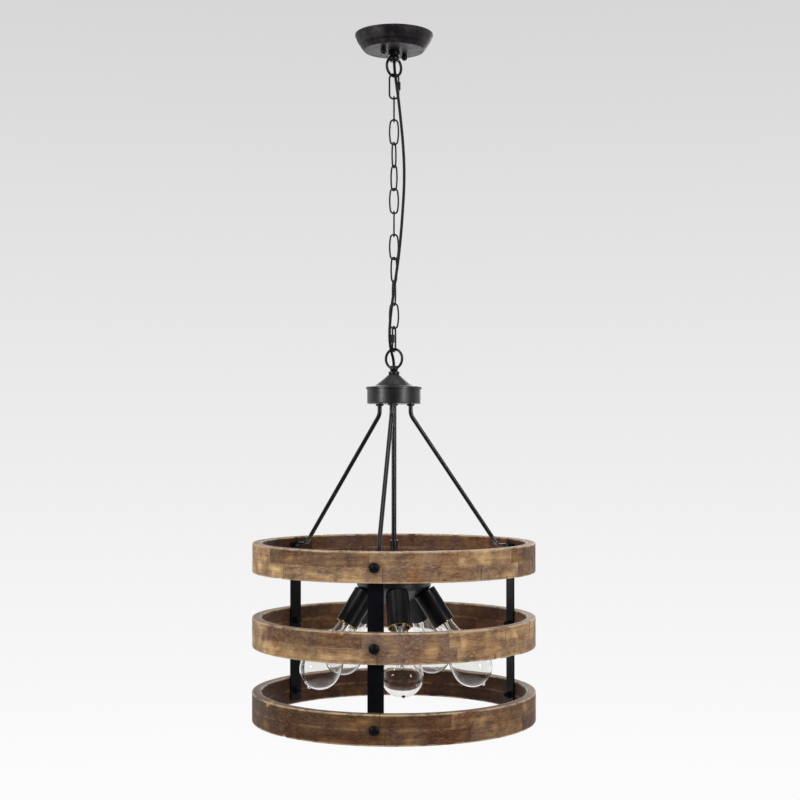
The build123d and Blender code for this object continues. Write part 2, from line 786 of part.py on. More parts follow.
def make_socket_cup():
    """Round lampholder body, stepped inside for the lining and the screw shell."""
    mouth = -socket_play - socket_length
    body = rod(socket_dia, -socket_play, mouth)
    body = fillet(body.edges().filter_by(GeomType.CIRCLE).group_by(Axis.Z)[-1], socket_edge_round)
    body -= rod(socket_mouth_bore, mouth + socket_mouth_depth, mouth - 1)
    body -= rod(socket_screw_bore, mouth + socket_screw_depth, mouth - 1)
    body -= rod(lamp_thread_dia + 2 * thread_play, 1, -socket_bolt_depth)
    return body - rod(socket_wire_hole_dia, 1, mouth + socket_screw_depth - 1)


def make_socket_bolt():
    """Hollow bolt from inside the pan, which pulls the socket up to its seat.

    The cone rises towards the corners of the flat head, so the head's middle stands a little off it.
    """
    head_seat = pan_wall + socket_bolt_head_lift
    head = Pos(0, 0, head_seat) * hex_block(socket_bolt_head_size, socket_bolt_head_height)
    tip = blind_hole_spare - socket_bolt_depth
    shank = rod(lamp_thread_dia, head_seat + socket_bolt_head_height / 2, tip)
    return head + shank - rod(socket_wire_hole_dia, head_seat + socket_bolt_head_height + 1, tip - 1)


def make_socket_shell():
    """Brass lining: a wide band inside the mouth that necks down to the screw shell."""
    mouth = -socket_play - socket_length
    lip = mouth + shell_lip_inset
    wide = socket_mouth_bore / 2 - shell_play
    narrow = socket_screw_bore / 2 - shell_play
    step = mouth + socket_mouth_depth - shell_play
    top = mouth + socket_screw_depth - shell_play
    wall = shell_wall
    contact = bulb_contact_dia / 2
    return turned(outline(
        (wide, lip), (wide, step), (narrow, step), (narrow, top), (0, top), (0, top - 2 * wall),
        (contact, top - 2 * wall), (contact, top - wall), (narrow - wall, top - wall),
        (narrow - wall, step - wall), (wide - wall, step - wall), (wide - wall, lip)))


# Lamps: heights are along the socket's axis, down from its mouth
mouth_z = -socket_play - socket_length


def make_bulb_base():
    """Thin hollow shell that takes the glass neck, closed above by its insulator and contact."""
    radius = bulb_base_dia / 2
    rim = mouth_z + bulb_base_rim
    tip = rim + bulb_base_length
    contact = bulb_contact_dia / 2
    contact_z = tip - bulb_contact_height
    shell_top = contact_z - bulb_taper_height
    bore = radius - bulb_base_wall
    return turned(outline(
        (bore, rim), (radius, rim), (radius, shell_top), (contact, contact_z), (contact, tip), (0, tip),
        (0, contact_z - bulb_insulator), (contact, contact_z - bulb_insulator),
        (bore, shell_top - bulb_insulator)))


def bulb_side(inset):
    """The envelope's side in radius and height, from the neck's end down to the crown, as tangent arcs."""
    neck = bulb_neck_dia / 2 - inset
    ball = bulb_dia / 2 - inset
    flank = bulb_flank_radius - inset
    neck_top = mouth_z + bulb_base_rim + bulb_neck_in_base
    hollow_z = neck_top - bulb_neck_straight
    widest_z = mouth_z - bulb_widest
    swell = ball - neck
    fall = hollow_z - widest_z
    # The hollow under the neck is as large as lets it run on into the flank
    hollow = (swell**2 + fall**2) / (2 * swell) - flank
    hollow_centre = (neck + hollow, hollow_z)
    flank_centre = (ball - flank, widest_z)
    share = flank / (flank + hollow)
    join = (flank_centre[0] + (hollow_centre[0] - flank_centre[0]) * share,
            flank_centre[1] + (hollow_centre[1] - flank_centre[1]) * share)
    return [
        Line((neck, neck_top), (neck, hollow_z)),
        arc_about(hollow_centre, (neck, hollow_z), join),
        arc_about(flank_centre, join, (ball, widest_z)),
        arc_about((0, widest_z), (ball, widest_z), (0, widest_z - ball))]


def make_bulb_glass():
    """Teardrop envelope with a pip at its crown, where it was pumped out and sealed."""
    outside = bulb_side(0)
    inside = bulb_side(bulb_wall)
    envelope = turned(*outside, *inside,
                      Line(outside[0] @ 0, inside[0] @ 0), Line(outside[-1] @ 1, inside[-1] @ 1))
    crown = mouth_z - bulb_widest - bulb_dia / 2
    return envelope + dome(bulb_pip_dia, crown + bulb_wall / 2, crown - bulb_pip_length)


socket_bearings = [socket_first_bearing + i * 360 / socket_count for i in range(socket_count)]
save(make_stem(), "stem_tube")
save(make_coupler(), "stem_coupler")
nipple_top = stem_bottom - coupler_tube_gap
save(tube(stem_dia, stem_bore_dia, nipple_top, floor_z - finial_thread), "pan_nipple")
save(make_pan(), "socket_pan")
save(make_pan_cover(), "pan_cover")
save(Pos(0, 0, floor_z) * make_finial(), "pan_finial")
shells = []
socket_bolts = []
for i, angle in enumerate(socket_bearings):
    place = socket_place(angle)
    save(place * make_socket_cup(), f"socket_cup_{i + 1}")
    save(place * make_bulb_base(), f"bulb_base_{i + 1}")
    save(place * make_bulb_glass(), f"bulb_glass_{i + 1}")
    shells.append(place * make_socket_shell())
    socket_bolts.append(place * make_socket_bolt())
save_group(shells, "socket_shells")
save_group(socket_bolts, "socket_bolts")
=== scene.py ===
import json
from math import atan2, cos, hypot, pi, radians, sin
from random import Random

import bmesh
import bpy
from mathutils import Matrix, Vector, noise


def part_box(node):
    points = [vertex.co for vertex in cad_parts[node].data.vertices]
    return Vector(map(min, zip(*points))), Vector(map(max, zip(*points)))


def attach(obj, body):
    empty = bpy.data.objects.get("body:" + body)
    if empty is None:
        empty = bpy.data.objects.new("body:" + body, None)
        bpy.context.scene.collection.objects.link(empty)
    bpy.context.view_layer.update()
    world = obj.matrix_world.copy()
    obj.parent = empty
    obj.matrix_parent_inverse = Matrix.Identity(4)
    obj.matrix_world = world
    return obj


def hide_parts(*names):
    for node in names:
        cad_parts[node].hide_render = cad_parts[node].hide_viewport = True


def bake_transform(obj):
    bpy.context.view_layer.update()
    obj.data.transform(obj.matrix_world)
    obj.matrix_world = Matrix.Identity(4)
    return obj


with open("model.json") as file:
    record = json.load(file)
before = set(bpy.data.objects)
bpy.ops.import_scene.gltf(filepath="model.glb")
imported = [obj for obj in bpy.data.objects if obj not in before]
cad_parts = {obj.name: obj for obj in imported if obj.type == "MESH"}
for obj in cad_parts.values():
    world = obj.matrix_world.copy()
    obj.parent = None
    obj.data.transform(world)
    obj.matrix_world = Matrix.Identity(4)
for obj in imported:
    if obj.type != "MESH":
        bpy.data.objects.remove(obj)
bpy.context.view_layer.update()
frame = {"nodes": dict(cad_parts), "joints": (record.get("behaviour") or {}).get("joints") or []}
nodes = frame["nodes"]
joints = {joint["name"]: joint for joint in frame["joints"]}


# Camera: it stands well over two metres in front of the lamp, a little below the hub, and looks up a degree.
# The picture is also shifted up a little on its sensor, so that uprights stay upright.
camera_data = bpy.data.cameras.new("camera")
camera_data.sensor_width = 36.0
camera_data.lens = 65.3
camera_data.shift_y = 0.02
camera = bpy.data.objects.new("camera", camera_data)
camera.location = (0.0096, -2.32, -0.6626)
camera.rotation_euler = (radians(91.22), 0, 0)
bpy.context.scene.collection.objects.link(camera)
bpy.context.scene.camera = camera


# Flex: one round PVC cable, black, that leaves the canopy through the loop's bore and hangs beside the chain.
# It runs on one smooth line, cut into stretches from the middle of each link to the middle of the next.
flex_dia = 0.0046
flex_route = [
    (0.0, 0.0, -0.0200), (0.0, 0.0, -0.0490), (0.0028, -0.0118, -0.0755), (0.0066, -0.0140, -0.1030),
    (0.0106, -0.0132, -0.1380), (0.0142, -0.0124, -0.1750), (0.0164, -0.0114, -0.2120),
    (0.0162, -0.0110, -0.2490), (0.0139, -0.0114, -0.2860), (0.0112, -0.0126, -0.3230),
    (0.0076, -0.0138, -0.3590), (0.0026, -0.0146, -0.3950), (-0.0024, -0.0150, -0.4300),
    (-0.0062, -0.0154, -0.4610), (-0.0073, -0.0148, -0.4890), (-0.0050, -0.0106, -0.5090),
    (0.0, 0.0, -0.5245), (0.0, 0.0, -0.5430)]
flex_ring_spacing = 0.0024
flex_sides = 20


def place_node(tree, kind, settings=None, **inputs):
    """Adds a shader node, sets its options, and gives each named input a value or another node's output."""
    node = tree.nodes.new(kind)
    for option, value in (settings or {}).items():
        setattr(node, option, value)
    for label, value in inputs.items():
        socket = node.inputs[label.replace("_", " ")]
        if isinstance(value, bpy.types.NodeSocket):
            tree.links.new(value, socket)
        else:
            socket.default_value = value
    return node


def combine(tree, operation, first, second, limit=False):
    """A Math node on two numbers or sockets."""
    node = tree.nodes.new("ShaderNodeMath")
    node.operation = operation
    node.use_clamp = limit
    for socket, value in zip(node.inputs, (first, second)):
        if isinstance(value, bpy.types.NodeSocket):
            tree.links.new(value, socket)
        else:
            socket.default_value = value
    return node.outputs[0]


def share(tree, mask, amount):
    """This much of a mask."""
    return combine(tree, "MULTIPLY", mask, amount)


def between(tree, value, low, high):
    """Zero below low, one above high, and an even slope between them."""
    node = place_node(tree, "ShaderNodeMapRange", Value=value)
    node.inputs["From Min"].default_value = low
    node.inputs["From Max"].default_value = high
    return node.outputs["Result"]


def tint(tree, share, first, second, how="MIX"):
    """A colour mix of two colours or sockets."""
    node = tree.nodes.new("ShaderNodeMix")
    node.data_type = "RGBA"
    node.blend_type = how
    for index, value in ((0, share), (6, first), (7, second)):
        if isinstance(value, bpy.types.NodeSocket):
            tree.links.new(value, node.inputs[index])
        else:
            node.inputs[index].default_value = value
    return node.outputs[2]


def colour(red, green, blue):
    """A colour written as it looks on a screen, 0 to 255, in the renderer's own linear values."""
    def linear(value):
        share = value / 255
        return share / 12.92 if share <= 0.04045 else ((share + 0.055) / 1.055) ** 2.4
    return (linear(red), linear(green), linear(blue), 1.0)


def new_finish(name):
    """An empty material with its shader ready, and its tree."""
    material = bpy.data.materials.new(name)
    material.use_nodes = True
    tree = material.node_tree
    return material, tree, tree.nodes["Principled BSDF"]


def speckle(tree, vector, scale, detail=4.0, roughness=0.6, distortion=0.0):
    """Soft random spots, each about one over the scale in metres across."""
    return place_node(tree, "ShaderNodeTexNoise", Vector=vector, Scale=scale, Detail=detail,
                      Roughness=roughness, Distortion=distortion).outputs["Fac"]


def raised(tree, shader, height, depth):
    """Bumps the shader's surface by this height field, depth metres from its lowest to its highest."""
    bump = place_node(tree, "ShaderNodeBump", Strength=1.0, Distance=depth, Height=height)
    tree.links.new(bump.outputs["Normal"], shader.inputs["Normal"])


def two_tone(tree, shader, mask, first, second):
    """The first colour where the mask is zero, the second where it is one."""
    tree.links.new(tint(tree, mask, colour(*first), colour(*second)), shader.inputs["Base Color"])


def dulled(tree, shader, mask, least, spread):
    """Roughness that rises from least by spread, with the mask."""
    tree.links.new(combine(tree, "ADD", share(tree, mask, spread), least), shader.inputs["Roughness"])


def make_flex_finish():
    material, tree, shader = new_finish("flex_pvc")
    where = place_node(tree, "ShaderNodeTexCoord").outputs["Object"]
    dull = speckle(tree, where, 160.0)
    two_tone(tree, shader, between(tree, dull, 0.35, 0.7), (10, 9, 10), (22, 20, 21))
    dulled(tree, shader, between(tree, dull, 0.3, 0.8), least=0.3, spread=0.2)
    shader.inputs["Specular IOR Level"].default_value = 0.2
    raised(tree, shader, speckle(tree, where, 900.0), 0.00008)
    return material


def route_stations(points, spacing):
    """Points about this far apart on the smooth line that these points control."""
    curve = bpy.data.curves.new("route", "CURVE")
    curve.dimensions = "3D"
    curve.resolution_u = 40
    spline = curve.splines.new("NURBS")
    spline.points.add(len(points) - 1)
    for control, point in zip(spline.points, points):
        control.co = (*point, 1.0)
    spline.order_u = 3
    spline.use_endpoint_u = True
    holder = bpy.data.objects.new("route", curve)
    line = [vertex.co.copy() for vertex in bpy.data.meshes.new_from_object(holder).vertices]
    bpy.data.objects.remove(holder)
    stations = [line[0]]
    for point in line[1:-1]:
        if (point - stations[-1]).length >= spacing:
            stations.append(point)
    return stations + [line[-1]]


def level_point(stations, height):
    """Where the falling line of stations passes this height."""
    for above, below in zip(stations, stations[1:]):
        if above.z >= height > below.z:
            return above.lerp(below, (above.z - height) / (above.z - below.z))
    return stations[-1]


def ring_edges(verts):
    """The edges of a ring that nothing else is joined to yet."""
    return list({edge for vert in verts for edge in vert.link_edges})


def line_directions(points):
    """Which way a line runs at each of its points."""
    before = [points[0]] + points[:-1]
    after = points[1:] + [points[-1]]
    return [(b - a).normalized() for a, b in zip(before, after)]


def carried_turns(directions):
    """A turn for each direction that lays +Z along it without twisting from one to the next."""
    turns = [Vector((0, 0, 1)).rotation_difference(directions[0])]
    for last, direction in zip(directions, directions[1:]):
        turns.append(last.rotation_difference(direction) @ turns[-1])
    return turns


def sheath(bm, points, turns, radius, sides):
    """A closed round tube with one ring at each point, square to its direction."""
    rings = []
    for point, turn in zip(points, turns):
        circle = bmesh.ops.create_circle(
            bm, segments=sides, radius=radius, matrix=Matrix.LocRotScale(point, turn, None))
        rings.append(ring_edges(circle["verts"]))
    sides_made = []
    for upper, lower in zip(rings, rings[1:]):
        sides_made += bmesh.ops.bridge_loops(bm, edges=upper + lower)["faces"]
    for ring in (rings[0], rings[-1]):
        bmesh.ops.holes_fill(bm, edges=ring, sides=0)
    for face in sides_made:
        face.smooth = True


def new_piece(name, bm, material):
    """A finished mesh object with its faces turned outwards, its place in its mesh."""
    bmesh.ops.recalc_face_normals(bm, faces=bm.faces)
    mesh = bpy.data.meshes.new(name)
    bm.to_mesh(mesh)
    bm.free()
    mesh.materials.append(material)
    piece = bpy.data.objects.new(name, mesh)
    bpy.context.scene.collection.objects.link(piece)
    return piece


flex_finish = make_flex_finish()
flex_line = route_stations(flex_route, flex_ring_spacing)
link_nodes = ["screw_link_top"] + [f"chain_link_{i:02d}" for i in range(2, 12)] + ["screw_link_bottom"]
link_middles = [(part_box(node)[0].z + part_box(node)[1].z) / 2 for node in link_nodes]
flex_cuts = [level_point(flex_line, height) for height in link_middles]
flex_stations = sorted(flex_line + flex_cuts, key=lambda point: -point.z)
flex_turns = carried_turns(line_directions(flex_stations))
flex_ends = [flex_line[0]] + flex_cuts + [flex_line[-1]]
for i, (top, bottom) in enumerate(zip(flex_ends, flex_ends[1:])):
    chosen = [k for k, point in enumerate(flex_stations) if top.z >= point.z >= bottom.z]
    path = [flex_stations[k] for k in chosen]
    bm = bmesh.new()
    sheath(bm, path, [flex_turns[k] for k in chosen], flex_dia / 2, flex_sides)
    stretch = new_piece(f"flex_stretch_{i + 1:02d}", bm, flex_finish)
    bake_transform(stretch)
    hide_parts("flex_cord")


# Ceiling canopy: a spun steel pan, sprayed matt black with a warm purplish cast.
# It is pulled up to a crossbar on the ceiling by two ball nuts.
def make_edge_group():
    """Mask of the sharp edges, broken up as handling wears them."""
    group = bpy.data.node_groups.new("worn_edges", "ShaderNodeTree")
    group.interface.new_socket("Width", in_out="INPUT", socket_type="NodeSocketFloat")
    group.interface.new_socket("Breakup", in_out="INPUT", socket_type="NodeSocketFloat")
    group.interface.new_socket("Mask", in_out="OUTPUT", socket_type="NodeSocketFloat")
    inside = group.nodes.new("NodeGroupInput")
    outside = group.nodes.new("NodeGroupOutput")
    where = place_node(group, "ShaderNodeTexCoord").outputs["Object"]
    rounded = place_node(group, "ShaderNodeBevel", {"samples": 6}, Radius=inside.outputs["Width"])
    straight = place_node(group, "ShaderNodeNewGeometry").outputs["True Normal"]
    facing = group.nodes.new("ShaderNodeVectorMath")
    facing.operation = "DOT_PRODUCT"
    group.links.new(rounded.outputs["Normal"], facing.inputs[0])
    group.links.new(straight, facing.inputs[1])
    turned_away = combine(group, "SUBTRACT", 1.0, facing.outputs["Value"])
    edge = between(group, turned_away, 0.02, 0.16)
    patches = between(group, speckle(group, where, inside.outputs["Breakup"]), 0.34, 0.66)
    group.links.new(combine(group, "MULTIPLY", edge, patches, limit=True), outside.inputs["Mask"])
    return group


worn_edges = make_edge_group()
cloudiness = 0.12


def make_paint(name, dark, light, edge, roughness, gloss, grain=1400.0, grain_depth=0.00004,
               edge_width=0.0006, dust=0.0):
    """Sprayed paint on metal: an orange-peel skin, cloudy sheen, paler rubbed edges, patches of dust."""
    material, tree, shader = new_finish(name)
    where = place_node(tree, "ShaderNodeTexCoord").outputs["Object"]
    cloud = between(tree, speckle(tree, where, 45.0, detail=6.0), 0.3, 0.7)
    flecks = between(tree, speckle(tree, where, 2600.0, detail=2.0), 0.58, 0.8)
    shade = tint(tree, cloud, colour(*dark), colour(*light))
    shade = tint(tree, share(tree, flecks, 0.07), shade, colour(*edge))
    dusty = between(tree, speckle(tree, where, 24.0, detail=7.0, roughness=0.7), 0.44, 0.62)
    shade = tint(tree, share(tree, dusty, dust), shade, colour(108, 98, 99))
    worn = place_node(tree, "ShaderNodeGroup", {"node_tree": worn_edges}, Width=edge_width, Breakup=180.0)
    shade = tint(tree, share(tree, worn.outputs["Mask"], 0.75), shade, colour(*edge))
    tree.links.new(shade, shader.inputs["Base Color"])
    dulled(tree, shader, cloud, least=roughness - cloudiness / 2, spread=cloudiness)
    shader.inputs["Specular IOR Level"].default_value = gloss
    raised(tree, shader, speckle(tree, where, grain, detail=3.0), grain_depth)
    return material


def finish_nodes(material, *names):
    """Gives CAD nodes this finish."""
    for name in names:
        slots = nodes[name].data.materials
        slots.clear()
        slots.append(material)


def shade_canopy(material):
    """Paints a shadow into the hollow between the canopy's two bands, and a painted reflection that pales its
    flat face.
    """
    tree = material.node_tree
    shader = tree.nodes["Principled BSDF"]
    where = place_node(tree, "ShaderNodeTexCoord").outputs["Object"]
    height = place_node(tree, "ShaderNodeSeparateXYZ", Vector=where).outputs["Z"]
    # Painted shadow: the colour is darkened in the hollow between the two bands
    groove_shadow = combine(tree, "MINIMUM", between(tree, height, groove_shadow_height - groove_shadow_below, groove_shadow_height),
                     between(tree, height, groove_shadow_height + groove_shadow_above, groove_shadow_height))
    shade = shader.inputs["Base Color"].links[0].from_socket
    shade = tint(tree, share(tree, groove_shadow, 0.85), shade, colour(9, 7, 9))
    # Painted reflection: the flat face is paled to a purple grey, as the pale floor shows in it at a low
    # angle
    face = between(tree, height, cad_canopy_face + 0.0012, cad_canopy_face + 0.0004)
    shade = tint(tree, share(tree, face, 0.12), shade, colour(92, 74, 84))
    tree.links.new(shade, shader.inputs["Base Color"])


cad_canopy_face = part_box("canopy")[0].z
# Height of the painted shadow in the canopy's groove, and how far it reaches above and below
groove_shadow_height = -0.0180
groove_shadow_above = 0.0018
groove_shadow_below = 0.0030
canopy_black = make_paint("canopy_black_paint", (13, 10, 13), (30, 25, 30), (84, 76, 78),
                          roughness=0.48, gloss=0.2, dust=0.3)
shade_canopy(canopy_black)
finish_nodes(canopy_black, "canopy")


# Inside the canopy: a zinc-plated crossbar, studs and nuts, and a white terminal block.
# They are only seen from above or when the canopy is let down.
def make_zinc():
    material, tree, shader = new_finish("zinc_plate")
    where = place_node(tree, "ShaderNodeTexCoord").outputs["Object"]
    spangle = place_node(tree, "ShaderNodeTexVoronoi", {"feature": "F1"}, Vector=where, Scale=220.0)
    tone = between(tree, spangle.outputs["Distance"], 0.1, 0.8)
    two_tone(tree, shader, tone, (168, 170, 172), (120, 122, 126))
    shader.inputs["Metallic"].default_value = 1.0
    dulled(tree, shader, speckle(tree, where, 300.0), least=0.2, spread=0.3)
    raised(tree, shader, speckle(tree, where, 700.0), 0.00005)
    return material


def make_moulding():
    material, tree, shader = new_finish("white_moulding")
    where = place_node(tree, "ShaderNodeTexCoord").outputs["Object"]
    warm = between(tree, speckle(tree, where, 120.0), 0.3, 0.8)
    two_tone(tree, shader, warm, (226, 224, 216), (208, 204, 192))
    dulled(tree, shader, speckle(tree, where, 500.0), least=0.3, spread=0.25)
    raised(tree, shader, speckle(tree, where, 900.0), 0.00004)
    return material


zinc = make_zinc()
white_moulding = make_moulding()
finish_nodes(zinc, "crossbar", "crossbar_studs", "loop_nut", "pan_nipple", "socket_bolts")
finish_nodes(white_moulding, "terminal_block")


# Chain: welded wire links, and a screw link with a threaded sleeve at each end, all dipped in black.
# Where wire rests on wire the paint is rubbed, so the links are glossier and browner than the canopy.
link_black = make_paint("link_black_paint", (10, 9, 9), (20, 18, 18), (66, 60, 57),
                        roughness=0.36, gloss=0.35, grain=1900.0, grain_depth=0.00003, edge_width=0.0004)
finish_nodes(link_black, "screw_link_top_sleeve", "screw_link_bottom_sleeve", "top_loop", "hub_loop",
             "canopy_ball_nuts", *link_nodes)


# Hub: a round cup that the stem and the arm rods are bolted to, closed by a spun cap with a straight cone.
# Both have a satin black paint with a purplish sheen, and so do the socket pan and its cover.
def turned(outline, steps=64, ends_on_axis=True):
    """A body of revolution about Z from an outline of radius and height.

    The outline's ends lie on the axis, or it is closed and goes round a bore.
    """
    bm = bmesh.new()
    verts = [bm.verts.new((radius, 0, height)) for radius, height in outline]
    edges = [bm.edges.new(pair) for pair in zip(verts, verts[1:])]
    if not ends_on_axis:
        edges.append(bm.edges.new((verts[-1], verts[0])))
    bmesh.ops.spin(bm, geom=verts + edges, axis=(0, 0, 1), cent=(0, 0, 0), angle=2 * pi, steps=steps,
                   use_merge=True)
    bmesh.ops.remove_doubles(bm, verts=bm.verts, dist=0.000002)
    bmesh.ops.recalc_face_normals(bm, faces=bm.faces)
    for face in bm.faces:
        face.smooth = True
    for edge in bm.edges:
        if edge.calc_face_angle(0) > turned_crease:
            edge.smooth = False
    return bm


def make_hub_cap():
    """Spun cap: a small flat top, an almost straight cone, a flange with a rolled edge, and a short lip."""
    low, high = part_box("hub_cap")
    top, rim = high.z, (high.x - low.x) / 2
    foot = top - hub_cone_height
    outer = [(hub_cap_bore, top), (0.0086, top), (0.0092, top - 0.0004), (0.0136, top - 0.0044),
             (0.0202, top - 0.0098), (0.0266, top - 0.0148), (0.0306, top - 0.0176), (0.0322, top - 0.0184),
             (0.0340, foot - 0.0002), (rim - 0.0013, foot - 0.0010), (rim - 0.0004, foot - 0.0013),
             (rim, foot - 0.0020), (rim, low.z + 0.0003), (rim - 0.0003, low.z)]
    inner = [(radius - hub_cap_wall * 0.6, z - hub_cap_wall * 0.8) for radius, z in outer[2:10]]
    inner = [(rim - hub_cap_wall, low.z), (rim - hub_cap_wall, foot - 0.0024)] + inner[::-1]
    return turned(outer + inner + [(hub_cap_bore, top - hub_cap_wall)], 96, ends_on_axis=False)


turned_crease = radians(24)
hub_cap_wall = 0.0012
hub_cap_bore = 0.0052
hub_cone_height = 0.0186
satin_black = make_paint("satin_black_paint", (7, 5, 7), (15, 11, 14), (66, 60, 63),
                         roughness=0.38, gloss=0.75, grain_depth=0.00001, dust=0.025)
finish_nodes(satin_black, "hub_cap", "hub_cup", "hub_lock_nuts", "pan_cover", "socket_pan")
hub_cap = new_piece("hub_cap_spun", make_hub_cap(), satin_black)
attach(hub_cap, "lamp")
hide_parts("hub_cap")


# Arm rods, centre stem, coupler and finial: drawn steel rod and tube under a smoother, glossier black,
# which shows a narrow bright line along each round piece.
rod_black = make_paint("rod_black_paint", (8, 7, 8), (13, 12, 13), (54, 51, 51),
                       roughness=0.3, gloss=0.6, grain=1200.0, grain_depth=0.000005, edge_width=0.0004)
finish_nodes(rod_black, "arm_rod_1", "arm_rod_2", "arm_rod_3", "stem_tube", "stem_coupler", "pan_finial")


# Straps, bolts and cap nuts: flat black paint on rolled bar and forged heads, a bluer black than the rest.
# The bar's long edges are rubbed to a thin paler line.
bar_black = make_paint("bar_black_paint", (6, 7, 12), (14, 15, 21), (70, 72, 78),
                       roughness=0.44, gloss=0.12, grain=800.0, grain_depth=0.00008, edge_width=0.0009)
finish_nodes(bar_black, "strap_1", "strap_2", "strap_3", "hoop_bolts", "hoop_nuts")


# Lampholders: turned aluminium cups with a satin bluish black skin, and a brass lining that carries the lamp.
# The lining's rim shows as a thin gold ring at the mouth.
lamp_count = 5
socket_black = make_paint("socket_black_skin", (5, 5, 6), (10, 10, 12), (66, 66, 72),
                          roughness=0.36, gloss=0.28, grain=2400.0, grain_depth=0.000005, edge_width=0.0006)
finish_nodes(socket_black, *[f"socket_cup_{i + 1}" for i in range(lamp_count)])


def make_fitting_finish(name, fresh, tarnished, scale, detail, onset, full, least, spread, metallic=1.0,
                        relief=None):
    """A bare surface of two tones, dulled where it is tarnished, with a relief of this scale and depth."""
    material, tree, shader = new_finish(name)
    where = place_node(tree, "ShaderNodeTexCoord").outputs["Object"]
    tarnish = between(tree, speckle(tree, where, scale, detail), onset, full)
    two_tone(tree, shader, tarnish, fresh, tarnished)
    shader.inputs["Metallic"].default_value = metallic
    dulled(tree, shader, tarnish, least, spread)
    if relief:
        relief_scale, relief_depth = relief
        raised(tree, shader, speckle(tree, where, relief_scale), relief_depth)
    return material


def rim_place(node, axis):
    """A frame at the end of a round node: its origin is the middle of the last rim, its Z the given axis."""
    corners = {tuple(round(x, 6) for x in vert.co) for vert in nodes[node].data.vertices}
    reach = max(Vector(corner).dot(axis) for corner in corners)
    rim = [Vector(corner) for corner in corners if Vector(corner).dot(axis) > reach - 0.00001]
    middle = sum(rim, Vector()) / len(rim)
    return Matrix.Translation(middle) @ axis.to_track_quat("Z", "X").to_matrix().to_4x4()


def make_lip():
    """Rolled lip of the lining, a thin ring that stands a little proud of the cup's mouth."""
    bm = bmesh.new()
    place = Matrix.Translation((lip_radius, 0, lip_proud)) @ Matrix.Rotation(radians(90), 4, "X")
    bmesh.ops.create_circle(bm, segments=12, radius=lip_round, matrix=place)
    bmesh.ops.spin(bm, geom=[*bm.verts, *bm.edges], axis=(0, 0, 1), cent=(0, 0, 0), angle=2 * pi, steps=72,
                   use_merge=True)
    bmesh.ops.remove_doubles(bm, verts=bm.verts, dist=0.000002)
    for face in bm.faces:
        face.smooth = True
    return bm


lip_radius = 0.0166
lip_round = 0.00055
lip_proud = lip_round * 0.4
lamp_axes = [Vector(joints[f"unscrew_bulb_{i + 1}"]["axis"]).normalized() for i in range(lamp_count)]
brass = make_fitting_finish("lacquered_brass", (222, 182, 92), (142, 104, 44), scale=130.0, detail=7.0,
                            onset=0.42, full=0.74, least=0.16, spread=0.3, relief=(1100.0, 0.00003))
finish_nodes(brass, "socket_shells")
for i, axis in enumerate(lamp_axes):
    bm = make_lip()
    bm.transform(rim_place(f"socket_cup_{i + 1}", axis))
    lip = new_piece(f"socket_lip_{i + 1}", bm, brass)
    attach(lip, "lamp")


# Lamps: clear blown glass with a pip at the crown, on a nickel-plated cap with a rolled thread.
# Inside, a flared glass stem carries two lead wires, a glass post and the filament on its hooks.
cap_thread_pitch = 0.0036
cap_thread_depth = 0.0006
cap_radius = 0.0130
cap_length = 0.0240
cap_taper = 0.0040
cap_sheet = 0.00045
contact_height = 0.0020
contact_radius = 0.0045
insulator_radius = 0.0098


def mixed_shaders(tree, factor, first, second, output):
    """Shows the first shader where the factor is zero, the second where it is one."""
    choose = tree.nodes.new("ShaderNodeMixShader")
    for socket, value in zip(choose.inputs, (factor, first, second)):
        tree.links.new(value, socket)
    tree.links.new(choose.outputs[0], output.inputs["Surface"])


def make_glass(name, body, roughness):
    """Clear glass that lets light through to what stands behind it, also for shadows."""
    material, tree, shader = new_finish(name)
    where = place_node(tree, "ShaderNodeTexCoord").outputs["Object"]
    wash = between(tree, speckle(tree, where, 22.0), 0.3, 0.8)
    two_tone(tree, shader, wash, body, (255, 255, 255))
    shader.inputs["Roughness"].default_value = roughness
    shader.inputs["IOR"].default_value = soda_glass_ior
    shader.inputs["Transmission Weight"].default_value = 1.0
    raised(tree, shader, speckle(tree, where, 35.0, detail=1.0), 0.00012)
    clear = place_node(tree, "ShaderNodeBsdfTransparent", Color=(0.95, 0.95, 0.94, 1.0))
    shadow = place_node(tree, "ShaderNodeLightPath").outputs["Is Shadow Ray"]
    mixed_shaders(tree, shadow, shader.outputs[0], clear.outputs[0], tree.nodes["Material Output"])
    return material


soda_glass_ior = 1.5
bulb_glass = make_glass("bulb_clear_glass", (252, 251, 248), 0.0)
mount_glass = make_glass("mount_clear_glass", (240, 242, 240), 0.02)
nickel = make_fitting_finish("nickel_plate", (206, 202, 194), (162, 156, 146), scale=260.0, detail=6.0,
                             onset=0.35, full=0.75, least=0.18, spread=0.2, relief=(1500.0, 0.00002))
cap_black = make_fitting_finish("cap_insulator", (18, 16, 22), (38, 32, 44), scale=300.0, detail=4.0,
                                onset=0.4, full=0.7, least=0.1, spread=0.2, metallic=0.0)
filament_finish = make_fitting_finish("filament_wire", (150, 138, 120), (96, 86, 74), scale=900.0, detail=4.0,
                                      onset=0.3, full=0.7, least=0.25, spread=0.2)


